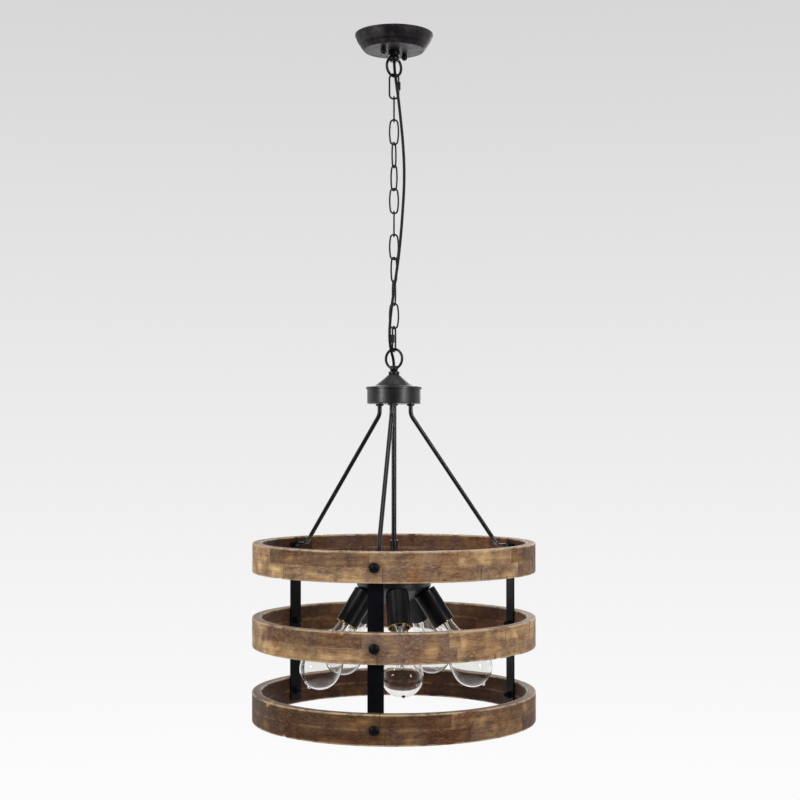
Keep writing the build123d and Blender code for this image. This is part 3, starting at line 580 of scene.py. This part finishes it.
def make_cap():
    """Screw cap with a thread rolled into its shell, run out at both ends."""
    thread_top = -0.0046
    thread_bottom = -0.0176
    fade_length = 0.0012
    root = cap_radius - cap_thread_depth
    inside = cap_radius - cap_sheet
    shell_end = -cap_length + contact_height + cap_taper
    outline = [(0, -cap_length), (contact_radius * 0.8, -cap_length), (contact_radius, -cap_length + 0.0005),
               (contact_radius, -cap_length + contact_height),
               (insulator_radius, shell_end - 0.0016), (insulator_radius + 0.0003, shell_end - 0.0012)]
    levels = 30
    outline += [(root, thread_bottom + (thread_top - thread_bottom) * k / levels) for k in range(levels + 1)]
    outline += [(cap_radius, thread_top + 0.0010), (cap_radius, -0.0003), (cap_radius - 0.0002, 0.0),
                (inside, 0.0), (inside, shell_end), (insulator_radius, shell_end - 0.0004),
                (0, shell_end - 0.0004)]
    bm = turned(outline, 72)
    for vert in bm.verts:
        radius = hypot(vert.co.x, vert.co.y)
        height = vert.co.z
        if abs(radius - root) < 0.00001 and thread_bottom < height < thread_top:
            turn = atan2(vert.co.y, vert.co.x) / (2 * pi)
            wave = 0.5 + 0.5 * cos(2 * pi * (height / cap_thread_pitch - turn))
            run_out = min(1.0, (height - thread_bottom) / fade_length, (thread_top - height) / fade_length)
            scale = (root + cap_thread_depth * wave * run_out) / radius
            vert.co.x *= scale
            vert.co.y *= scale
    # The taper between the contact and the thread is the black insulator, the cap's second material
    for face in bm.faces:
        middle = face.calc_center_median()
        below_thread = hypot(middle.x, middle.y) > contact_radius and abs(middle.z) > 0.0185
        face.material_index = 1 if below_thread and middle.z > -cap_length + contact_height - 0.0002 else 0
    return bm


def make_mount():
    """Flared glass stem, pinched shut at its press, with a glass post and button above it."""
    outline = [(0, 0.0185), (0.0022, 0.0165), (0.0032, 0.0100), (0.0046, 0.0030), (0.0088, -0.0030),
               (0.0112, -0.0042), (0.0116, -0.0034), (0.0094, -0.0018), (0.0056, 0.0040), (0.0042, 0.0110),
               (0.0037, 0.0180), (0.0036, 0.0240), (0.0028, 0.0275), (0.0015, 0.0292), (0.0012, 0.0320),
               (0.0012, 0.0660), (0.0021, 0.0672), (0.0024, 0.0685), (0.0020, 0.0698), (0, 0.0702)]
    bm = turned(outline, 48)
    # The press is pinched flat across
    press_height, press_reach = 0.0245, 0.0065
    for vert in bm.verts:
        pinch = max(0.0, 1 - abs(vert.co.z - press_height) / press_reach)
        vert.co.y *= 1 - 0.45 * pinch
        vert.co.x *= 1 + 0.25 * pinch
    return bm


def bent_wire(bm, points, dia, sides=8):
    """A round wire through these points."""
    points = [Vector(point) for point in points]
    sheath(bm, points, carried_turns(line_directions(points)), dia / 2, sides)


def make_filament():
    """Lead wires out of the press, two stars of hooks on the post, and the filament strung between them."""
    bm = bmesh.new()
    lead_dia = 0.0006
    hook_dia = 0.0004
    thread_dia = 0.00035
    loops = 5
    top_z, top_radius = 0.0340, 0.0068
    low_z, low_radius = 0.0665, 0.0095
    first, last = 0, loops - 0.5

    def around(position, radius, z):
        angle = 2 * pi * position / loops + radians(25)
        return (radius * cos(angle), radius * sin(angle), z)

    for position, side in ((first, 1), (last, -1)):
        bent_wire(bm, [(side * 0.0020, 0, 0.0180), (side * 0.0021, 0, 0.0285),
                       around(position, 0.0045, 0.0305), around(position, top_radius, top_z)], lead_dia)
    string = []
    for k in range(2 * loops):
        radius, z = (top_radius, top_z) if k % 2 == 0 else (low_radius, low_z)
        string.append(around(k / 2, radius, z))
    for k in range(1, loops):
        bent_wire(bm, [(0, 0, 0.0318), around(k, 0.0040, 0.0322), around(k, top_radius, top_z)], hook_dia, 6)
    for k in range(loops):
        bent_wire(bm, [(0, 0, 0.0688), around(k + 0.5, 0.0050, 0.0684), around(k + 0.5, low_radius, low_z)],
                  hook_dia, 6)
    for start, end in zip(string, string[1:]):
        bent_wire(bm, [start, end], thread_dia, 6)
    return bm


# A lamp's own frame has its origin in the middle of the cap's rim, and Z points out through the crown
for i, axis in enumerate(lamp_axes):
    place = rim_place(f"bulb_base_{i + 1}", axis)
    body = f"bulb_{i + 1}"
    for name, make, finishes, slot in (
            ("lamp_cap", make_cap, (nickel, cap_black), "plated_steel"),
            ("glass_mount", make_mount, (mount_glass,), "clear_glass"),
            ("filament", make_filament, (filament_finish,), "plated_steel")):
        bm = make()
        bm.transform(place)
        piece = new_piece(f"{name}_{i + 1}", bm, finishes[0])
        for finish in finishes[1:]:
            piece.data.materials.append(finish)
        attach(piece, body)
        if name == "lamp_cap":
            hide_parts(f"bulb_base_{i + 1}")
finish_nodes(bulb_glass, *[f"bulb_glass_{i + 1}" for i in range(lamp_count)])


# Hoops: each is glued up from two courses of short solid staves with staggered butt joints, then turned,
# stained brown and rubbed through. Each stave keeps its own tone and grain, and its arrises are worn.
hoop_low, hoop_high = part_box("upper_hoop")
hoop_radius = (hoop_high.x - hoop_low.x) / 2
hoop_wall = 0.015
hoop_height = hoop_high.z - hoop_low.z
stave_step = radians(0.75)
stave_rim_round = 0.0011
stave_joint_round = 0.00015
stave_gap = 0.00002
stave_square = radians(40)
stave_crease = radians(35)
stave_levels = 6
hand_wave = 0.00022
chip_depth = 0.0012
small_chips = 14
back_rubs = 9
spot_ragged_scale = 70
spot_raggedness = 0.8
spot_ragged_shift = Vector((31, 17, 5))


def make_grain_group():
    """Bands of early and late wood along the grain, wavy growth lines, dark streaks and fine open pores."""
    group = bpy.data.node_groups.new("wood_grain", "ShaderNodeTree")
    group.interface.new_socket("Grain", in_out="INPUT", socket_type="NodeSocketVector")
    for label in ("Figure", "Growth", "Streaks", "Pores"):
        group.interface.new_socket(label, in_out="OUTPUT", socket_type="NodeSocketFloat")
    inside = group.nodes.new("NodeGroupInput")
    outside = group.nodes.new("NodeGroupOutput")
    for label, stretch, detail, distortion in (
            ("Figure", (6.0, 60.0, 60.0), 7.0, 0.9), ("Growth", (9.0, 34.0, 34.0), 2.0, 0.6),
            ("Streaks", (24.0, 260.0, 260.0), 6.0, 0.35), ("Pores", (120.0, 1300.0, 1300.0), 3.0, 0.0)):
        drawn = place_node(group, "ShaderNodeMapping", Vector=inside.outputs["Grain"], Scale=stretch)
        value = speckle(group, drawn.outputs["Vector"], 1.0, detail, 0.62, distortion)
        if label == "Growth":
            value = combine(group, "SINE", combine(group, "MULTIPLY", value, 70.0), 0.0)
        group.links.new(value, outside.inputs[label])
    return group


def reach_from_axis(tree, where):
    """How far a point lies from the vertical axis."""
    flat = place_node(tree, "ShaderNodeVectorMath", {"operation": "MULTIPLY"})
    tree.links.new(where, flat.inputs[0])
    flat.inputs[1].default_value = (1.0, 1.0, 0.0)
    reach = place_node(tree, "ShaderNodeVectorMath", {"operation": "LENGTH"})
    tree.links.new(flat.outputs[0], reach.inputs[0])
    return reach.outputs["Value"]


def make_wood():
    """Brown stain rubbed through to gold, by a stave's own tone, its grain, and what lies near each point."""
    material, tree, shader = new_finish("rubbed_brown_wood")
    grain, stave, wear = [
        place_node(tree, "ShaderNodeAttribute", {"attribute_name": label}).outputs["Vector"]
        for label in ("grain", "stave", "wear")]
    to_joint = place_node(tree, "ShaderNodeAttribute", {"attribute_name": "to_joint"}).outputs["Fac"]
    where = place_node(tree, "ShaderNodeTexCoord").outputs["Object"]
    wood = place_node(tree, "ShaderNodeGroup", {"node_tree": make_grain_group()}, Grain=grain).outputs
    stain_of = place_node(tree, "ShaderNodeSeparateXYZ", Vector=stave).outputs
    worn = place_node(tree, "ShaderNodeSeparateXYZ", Vector=wear).outputs
    height = place_node(tree, "ShaderNodeSeparateXYZ", Vector=grain).outputs["Z"]
    height = combine(tree, "ABSOLUTE", height, 0.0)
    cloud = speckle(tree, where, 16.0, detail=5.0, distortion=0.5)
    patch = speckle(tree, where, 34.0, detail=7.0, roughness=0.68)
    blot = speckle(tree, where, 47.0, detail=6.0, roughness=0.6, distortion=0.6)
    along = place_node(tree, "ShaderNodeMapping", Vector=grain, Scale=(150.0, 430.0, 430.0)).outputs["Vector"]
    grit = speckle(tree, along, 1.0, detail=4.0, roughness=0.75)

    def stained(mask, amount, *shade, how="MIX"):
        """The stain so far with a further colour over it."""
        return tint(tree, share(tree, mask, amount), stain, colour(*shade), how)

    # Stain: dark brown in the late wood and in the pores, warm brown between them
    stain = tint(tree, between(tree, wood["Figure"], 0.30, 0.68), colour(88, 61, 43), colour(160, 123, 87))
    stain = stained(between(tree, wood["Growth"], 0.1, 0.95), 0.5, 76, 53, 38)
    stain = stained(between(tree, wood["Streaks"], 0.48, 0.66), 0.6, 58, 39, 28)
    # Some staves came out greyer, with blots of reddish and of dark brown
    grey = share(tree, between(tree, cloud, 0.36, 0.6), stain_of["Y"])
    stain = stained(grey, 0.8, 124, 106, 99)
    stain = stained(between(tree, cloud, 0.5, 0.36), 0.4, 128, 76, 42)
    blots = combine(tree, "SUBTRACT", blot, share(tree, grit, 0.25))
    stain = stained(between(tree, blots, 0.42, 0.54), 0.6, 62, 43, 32)
    # Gold where the stain is rubbed through, with gritty edges
    rub = combine(tree, "ADD", share(tree, stain_of["Z"], 0.14), share(tree, worn["X"], 0.26))
    rub = combine(tree, "ADD", rub, combine(tree, "ADD", share(tree, patch, 0.9), share(tree, grit, 0.6)))
    rub = combine(tree, "ADD", rub, share(tree, wood["Streaks"], 0.6))
    gold = tint(tree, between(tree, wood["Figure"], 0.36, 0.6), colour(184, 142, 94), colour(232, 192, 132))
    stain = tint(tree, share(tree, between(tree, rub, 1.08, 1.46), 0.85), stain, gold)
    stain = stained(between(tree, grit, 0.52, 0.68), 0.6, 54, 38, 29)
    stain = stained(between(tree, grit, 0.48, 0.32), 0.5, 204, 172, 130)
    # A darker stain is also a redder one
    rich = combine(tree, "ADD", share(tree, stain_of["X"], -0.2), 1.24)
    redder = combine(tree, "ADD", share(tree, stain_of["X"], 0.014), 0.482)
    stain = place_node(tree, "ShaderNodeHueSaturation", Color=stain, Hue=redder, Saturation=rich,
                       Value=stain_of["X"]).outputs["Color"]
    # The inner wall is darker: partly painted shade for the inside of the drum, partly a stain that is not
    # rubbed through
    reach = reach_from_axis(tree, where)
    inner_radius = hoop_radius - hoop_wall
    inner = between(tree, reach, inner_radius + 0.0022, inner_radius + 0.0006)
    stain = stained(inner, 0.8, 150, 118, 92, how="MULTIPLY")
    # The rim's flat is greyer, and its two arrises are rubbed to a thin pale line
    side = combine(tree, "MINIMUM", combine(tree, "SUBTRACT", hoop_radius, reach),
                   combine(tree, "SUBTRACT", reach, inner_radius))
    fall = combine(tree, "SUBTRACT", hoop_height / 2, height)
    rim = share(tree, between(tree, side, 0.0012, 0.0024), between(tree, fall, 0.0011, 0.0006))
    stain = stained(rim, 0.65, 118, 100, 90)
    squares = [combine(tree, "MULTIPLY", part, part) for part in (side, fall)]
    corner = combine(tree, "ADD", *squares)
    corner = between(tree, combine(tree, "SQRT", corner, 0.0), 0.0028, 0.0014)
    broken = between(tree, combine(tree, "ADD", patch, share(tree, grit, 0.5)), 0.6, 0.8)
    stain = stained(share(tree, corner, broken), 0.8, 204, 178, 142)
    # A glue line between the courses with a pale edge, dark butt joints, and a dark stain round each bolt
    course = share(tree, between(tree, height, 0.0021, 0.0011), between(tree, patch, 0.44, 0.56))
    stain = stained(course, 0.22, 186, 154, 114)
    course = share(tree, between(tree, height, 0.0008, 0.0002), between(tree, blot, 0.44, 0.6))
    butt = share(tree, between(tree, to_joint, 0.0013, 0.0004), between(tree, cloud, 0.46, 0.58))
    stain = stained(combine(tree, "MAXIMUM", course, butt), 0.55, 44, 31, 24)
    stain = stained(between(tree, worn["Y"], 0.017, 0.0085), 0.5, 66, 42, 28)
    # Raw wood in the chips
    stain = stained(between(tree, worn["Z"], 0.15, 0.5), 0.8, 196, 158, 112)
    tree.links.new(stain, shader.inputs["Base Color"])
    dulled(tree, shader, between(tree, wood["Figure"], 0.3, 0.7), least=0.5, spread=0.16)
    shader.inputs["Specular IOR Level"].default_value = 0.25
    relief = combine(tree, "ADD", share(tree, wood["Streaks"], 0.5), share(tree, wood["Pores"], 0.3))
    relief = combine(tree, "ADD", relief, share(tree, grit, 0.3))
    raised(tree, shader, relief, 0.0005)
    return material


def around_hoop(bearing, z):
    """The point of a hoop's outside at a bearing in degrees from the front, and its height."""
    angle = radians(bearing - 90)
    return Vector((hoop_radius * cos(angle), hoop_radius * sin(angle), z))


def closeness(point, centre, length, width):
    """One in the middle of a long ragged spot, none at its edge."""
    along = (Vector((point.x, point.y)) - Vector((centre.x, centre.y))).length
    ragged_along = noise.noise(point * spot_ragged_scale) * spot_raggedness
    ragged_up = noise.noise(point * spot_ragged_scale + spot_ragged_shift) * spot_raggedness
    return max(0.0, 1 - hypot(along / length + ragged_along, (point.z - centre.z) / width + ragged_up))


def make_stave(start, end, bottom, top, middle, stain, spots, draw):
    """One block of a course: a rectangle spun round the hoop, its rim and joint edges rounded by hand."""
    chips, rubs, bolts = spots
    inner = hoop_radius - hoop_wall
    gap = stave_gap / hoop_radius
    bm = bmesh.new()
    corners = [(inner, bottom), (hoop_radius, bottom), (hoop_radius, top), (inner, top)]
    verts = [bm.verts.new((radius * cos(start + gap), radius * sin(start + gap), z)) for radius, z in corners]
    face = bm.faces.new(verts)
    turn = end - start - 2 * gap
    steps = max(4, round(turn / stave_step))
    bmesh.ops.spin(bm, geom=[face, *face.edges, *face.verts], axis=(0, 0, 1), cent=(0, 0, 0), angle=turn,
                   steps=steps, use_duplicate=False)
    bmesh.ops.recalc_face_normals(bm, faces=bm.faces)
    rim_z = top if top > middle + 0.001 else bottom
    square = [edge for edge in bm.edges if edge.calc_face_angle(0) > stave_square]
    along = [edge for edge in square
             if all(abs(vert.co.z - rim_z) < 1e-6 for vert in edge.verts)
             and abs(edge.verts[0].co.xy.length - edge.verts[1].co.xy.length) < 1e-5]
    bmesh.ops.bevel(bm, geom=along, offset=stave_rim_round, offset_type="OFFSET", affect="EDGES",
                    segments=3, profile=0.5, material=-1)
    square = [edge for edge in bm.edges if edge.calc_face_angle(0) > stave_square]
    bmesh.ops.bevel(bm, geom=square, offset=stave_joint_round, offset_type="OFFSET", affect="EDGES",
                    segments=1, profile=0.5, material=-1)
    tall = [edge for edge in bm.edges
            if abs(edge.verts[0].co.z - edge.verts[1].co.z) > (top - bottom) * 0.6]
    bmesh.ops.subdivide_edges(bm, edges=tall, cuts=stave_levels, use_grid_fill=True)
    grain = bm.verts.layers.float_vector.new("grain")
    stave = bm.verts.layers.float_vector.new("stave")
    wear = bm.verts.layers.float_vector.new("wear")
    to_joint = bm.verts.layers.float.new("to_joint")
    shift = Vector((draw.uniform(0, 9), draw.uniform(0, 9), 0))
    look = Vector(stain) + Vector((
        draw.uniform(-0.04, 0.04), draw.uniform(-0.1, 0.1), draw.uniform(-0.1, 0.1)))
    proud = draw.uniform(-0.00012, 0.0)
    for vert in bm.verts:
        radius = vert.co.xy.length
        turned_by = (atan2(vert.co.y, vert.co.x) - start) % (2 * pi)
        if turned_by > turn + 0.1:
            turned_by -= 2 * pi
        angle = start + turned_by
        outwards = 1 if radius > inner + hoop_wall / 2 else -1
        vert[grain] = Vector((angle * hoop_radius, radius, vert.co.z - middle)) + shift
        vert[stave] = look
        vert[to_joint] = max(0.0, min(turned_by, turn - turned_by)) * hoop_radius
        chip = max(closeness(vert.co, place, size, size) * depth for place, size, depth in chips)
        rub = max(closeness(vert.co, place, length, width) for place, length, width in rubs)
        bolt = min((vert.co - place).length for place in bolts)
        vert[wear] = (rub if outwards > 0 else 0, bolt, chip / chip_depth)
        move = (proud - abs(noise.noise(vert.co * 38)) * hand_wave - chip) * outwards
        vert.co.x += cos(angle) * move
        vert.co.y += sin(angle) * move
        rim_side = 1 if rim_z > middle else -1
        if abs(vert.co.z - rim_z) < stave_rim_round * 1.1:
            vert.co.z -= rim_side * (abs(noise.noise(vert.co * 60)) * 0.0003 + chip * 0.8)
    for face in bm.faces:
        face.smooth = True
    for edge in bm.edges:
        if edge.calc_face_angle(0) > stave_crease:
            edge.smooth = False
    return bm


def make_hoop(name, seed, courses, rubbed, chipped):
    """Both courses of a hoop in one mesh, every stave a closed block."""
    draw = Random(seed)
    low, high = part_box(name)
    middle = (low.z + high.z) / 2
    chips = [(around_hoop(bearing, low.z if side < 0 else high.z), 0.009, chip_depth)
             for bearing, side in chipped]
    for _ in range(small_chips):
        spot = around_hoop(draw.uniform(0, 360), draw.choice((low.z, high.z)))
        chips.append((spot, draw.uniform(0.003, 0.007), draw.uniform(0.2, 0.8) * chip_depth))
    rubs = [(around_hoop(bearing, middle + rise / 1000), length / 1000, width / 1000)
            for bearing, rise, length, width in rubbed]
    for _ in range(back_rubs):
        spot = around_hoop(draw.uniform(80, 280), middle + draw.uniform(-0.02, 0.02))
        rubs.append((spot, draw.uniform(0.015, 0.05), draw.uniform(0.008, 0.018)))
    bolts = [Vector((hoop_radius * cos(angle), hoop_radius * sin(angle), middle)) for angle in strap_angles]
    hoop = bmesh.new()
    for label in ("grain", "stave", "wear"):
        hoop.verts.layers.float_vector.new(label)
    hoop.verts.layers.float.new("to_joint")
    for (bottom, top), staves in zip(((low.z, middle), (middle, high.z)), courses):
        ends = staves[1:] + [(staves[0][0] + 360, "")]
        for (first, stain), (last, _) in zip(staves, ends):
            stave = make_stave(radians(first - 90), radians(last - 90), bottom, top, middle, stains[stain],
                               (chips, rubs, bolts), draw)
            block = bpy.data.meshes.new("block")
            stave.to_mesh(block)
            stave.free()
            hoop.from_mesh(block)
            bpy.data.meshes.remove(block)
    return hoop


wood = make_wood()
strap_middles = [sum(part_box(f"strap_{i + 1}"), Vector()) / 2 for i in range(3)]
strap_angles = [atan2(middle.y, middle.x) for middle in strap_middles]
# How bright, how grey and how golden the stain came out on a stave
stains = {"gold": (1.28, 0.15, 0.75), "tan": (1.14, 0.40, 0.45), "grey": (1.00, 0.80, 0.20),
          "brown": (0.84, 0.30, 0.35), "russet": (0.66, 0.05, 0.40), "umber": (0.46, 0.10, 0.20),
          "dusk": (0.50, 0.55, 0.10)}
# For each hoop: a seed for its grain, then the lower and the upper course as the bearing of each butt joint,
# in degrees from the front, and the stain of the stave that starts there
hoop_courses = {
    "upper_hoop": (3, [(-88, "gold"), (-47, "gold"), (-4, "grey"), (35, "tan"), (57, "brown"), (142, "grey"),
                       (205, "brown"), (240, "tan")],
                   [(-96, "gold"), (-56, "brown"), (-9, "tan"), (25, "gold"), (52, "russet"), (118, "tan"),
                    (171, "grey"), (222, "umber")]),
    "middle_hoop": (8, [(-100, "gold"), (-52, "gold"), (-6, "tan"), (24, "gold"), (83, "tan"), (139, "brown"),
                        (196, "gold")],
                    [(-86, "gold"), (-58, "brown"), (-12, "grey"), (21, "gold"), (48, "gold"), (110, "brown"),
                     (163, "tan"), (219, "grey")]),
    "lower_hoop": (5, [(-92, "umber"), (-43, "umber"), (-3, "dusk"), (30, "brown"), (60, "umber"),
                       (112, "umber"), (166, "russet"), (207, "dusk")],
                   [(-105, "dusk"), (-62, "umber"), (-5, "umber"), (22, "brown"), (51, "russet"),
                    (98, "umber"), (146, "umber"), (190, "dusk")])}
# Where the stain is rubbed most on the front: bearing in degrees, then in millimetres height over the middle,
# length and width
hoop_rubs = {
    "upper_hoop": [(-66, 2, 22, 20), (-54, -11, 16, 12), (-44, 8, 12, 8), (-30, -14, 40, 6), (26, 6, 9, 9),
                   (36, 6, 26, 9), (56, 8, 22, 14), (48, -16, 30, 7)],
    "middle_hoop": [(-66, 4, 16, 24), (-56, -10, 26, 14), (-22, -13, 34, 8), (14, -8, 12, 13), (27, 8, 8, 16),
                    (38, 4, 16, 10), (50, 9, 30, 14), (70, 6, 26, 16)],
    "lower_hoop": [(-60, -13, 20, 8), (-48, -6, 14, 10), (-28, -19, 38, 8), (18, 12, 20, 9), (33, 10, 26, 12),
                   (42, -4, 22, 9), (64, 12, 26, 10), (8, -18, 30, 9), (-12, 12, 26, 8)]}
# Chips out of an arris that the photograph shows, by bearing, below or above
hoop_chips = {"upper_hoop": [(-50, -1)], "middle_hoop": [(45, -1), (52, -1), (56, -1)],
              "lower_hoop": [(-58, 1)]}
for name, (seed, *courses) in hoop_courses.items():
    bm = make_hoop(name, seed, courses, hoop_rubs[name], hoop_chips[name])
    hoop = new_piece(f"{name}_staves", bm, wood)
    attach(hoop, "lamp")
    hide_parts(name)


# Stage: a pale studio sweep far below the lamp, a near-white surround that darkens a little towards the top,
# and large soft lamps in front, at both sides and above.
def make_surround():
    world = bpy.data.worlds.new("surround")
    bpy.context.scene.world = world
    world.use_nodes = True
    tree = world.node_tree
    tree.nodes.clear()
    where = place_node(tree, "ShaderNodeTexCoord").outputs["Generated"]
    towards = place_node(tree, "ShaderNodeSeparateXYZ", Vector=where).outputs
    seen = tint(tree, between(tree, towards["Z"], -0.22, 0.30), colour(252, 252, 252), colour(214, 214, 214))
    seen = tint(tree, between(tree, towards["Z"], 0.36, 0.95), seen, colour(96, 96, 98))
    light_path = place_node(tree, "ShaderNodeLightPath").outputs
    # Reflections of the studio's front, where the camera stands, are darker
    front = share(tree, between(tree, towards["Y"], 0.5, -0.3), light_path["Is Glossy Ray"])
    seen = tint(tree, front, seen, colour(74, 74, 76))
    direct = combine(tree, "MAXIMUM", light_path["Is Camera Ray"], light_path["Is Transmission Ray"])
    direct = combine(tree, "MAXIMUM", direct, light_path["Is Glossy Ray"])
    backdrop = place_node(tree, "ShaderNodeBackground", Color=seen, Strength=1.0)
    light = place_node(tree, "ShaderNodeBackground", Color=colour(235, 238, 242), Strength=0.35)
    output = tree.nodes.new("ShaderNodeOutputWorld")
    mixed_shaders(tree, direct, light.outputs[0], backdrop.outputs[0], output)


def soft_lamp(name, place, aim, size, power):
    """A soft lamp in the studio that the camera doesn't see."""
    lamp = bpy.data.lights.new(name, "AREA")
    lamp.shape = "RECTANGLE"
    lamp.size, lamp.size_y = size
    lamp.energy = power
    holder = bpy.data.objects.new(name, lamp)
    holder.visible_camera = False
    holder.visible_transmission = False
    holder.location = place
    holder.rotation_euler = (Vector(aim) - Vector(place)).to_track_quat("-Z", "Y").to_euler()
    bpy.context.scene.collection.objects.link(holder)


def make_floor():
    """A pale round floor far below, which thins out towards its edge."""
    material, tree, shader = new_finish("studio_floor")
    where = place_node(tree, "ShaderNodeTexCoord").outputs["Object"]
    two_tone(tree, shader, speckle(tree, where, 2.0), (244, 244, 243), (236, 236, 234))
    shader.inputs["Roughness"].default_value = 0.8
    fade = between(tree, reach_from_axis(tree, where), floor_radius * 0.95, floor_radius * 0.3)
    tree.links.new(fade, shader.inputs["Alpha"])
    bm = bmesh.new()
    bmesh.ops.create_circle(bm, cap_ends=True, segments=96, radius=floor_radius,
                            matrix=Matrix.Translation((0, 0, floor_height)))
    return new_piece("floor", bm, material)


floor_height = -2.4
floor_radius = 2.2
make_floor()
make_surround()
soft_lamp("front_left", (-2.2, -1.6, 0.3), (0, 0, -0.75), (0.42, 1.8), 46)
soft_lamp("front_right", (1.85, -1.85, 0.0), (0, 0, -0.75), (0.38, 1.8), 36)
soft_lamp("above", (0.1, -0.3, 1.3), (0, 0, -0.8), (1.6, 1.6), 16)
soft_lamp("behind", (0.4, 2.2, 0.0), (0, 0, -0.8), (1.6, 1.2), 16)

view_settings = bpy.context.scene.view_settings
view_settings.view_transform = "Standard"
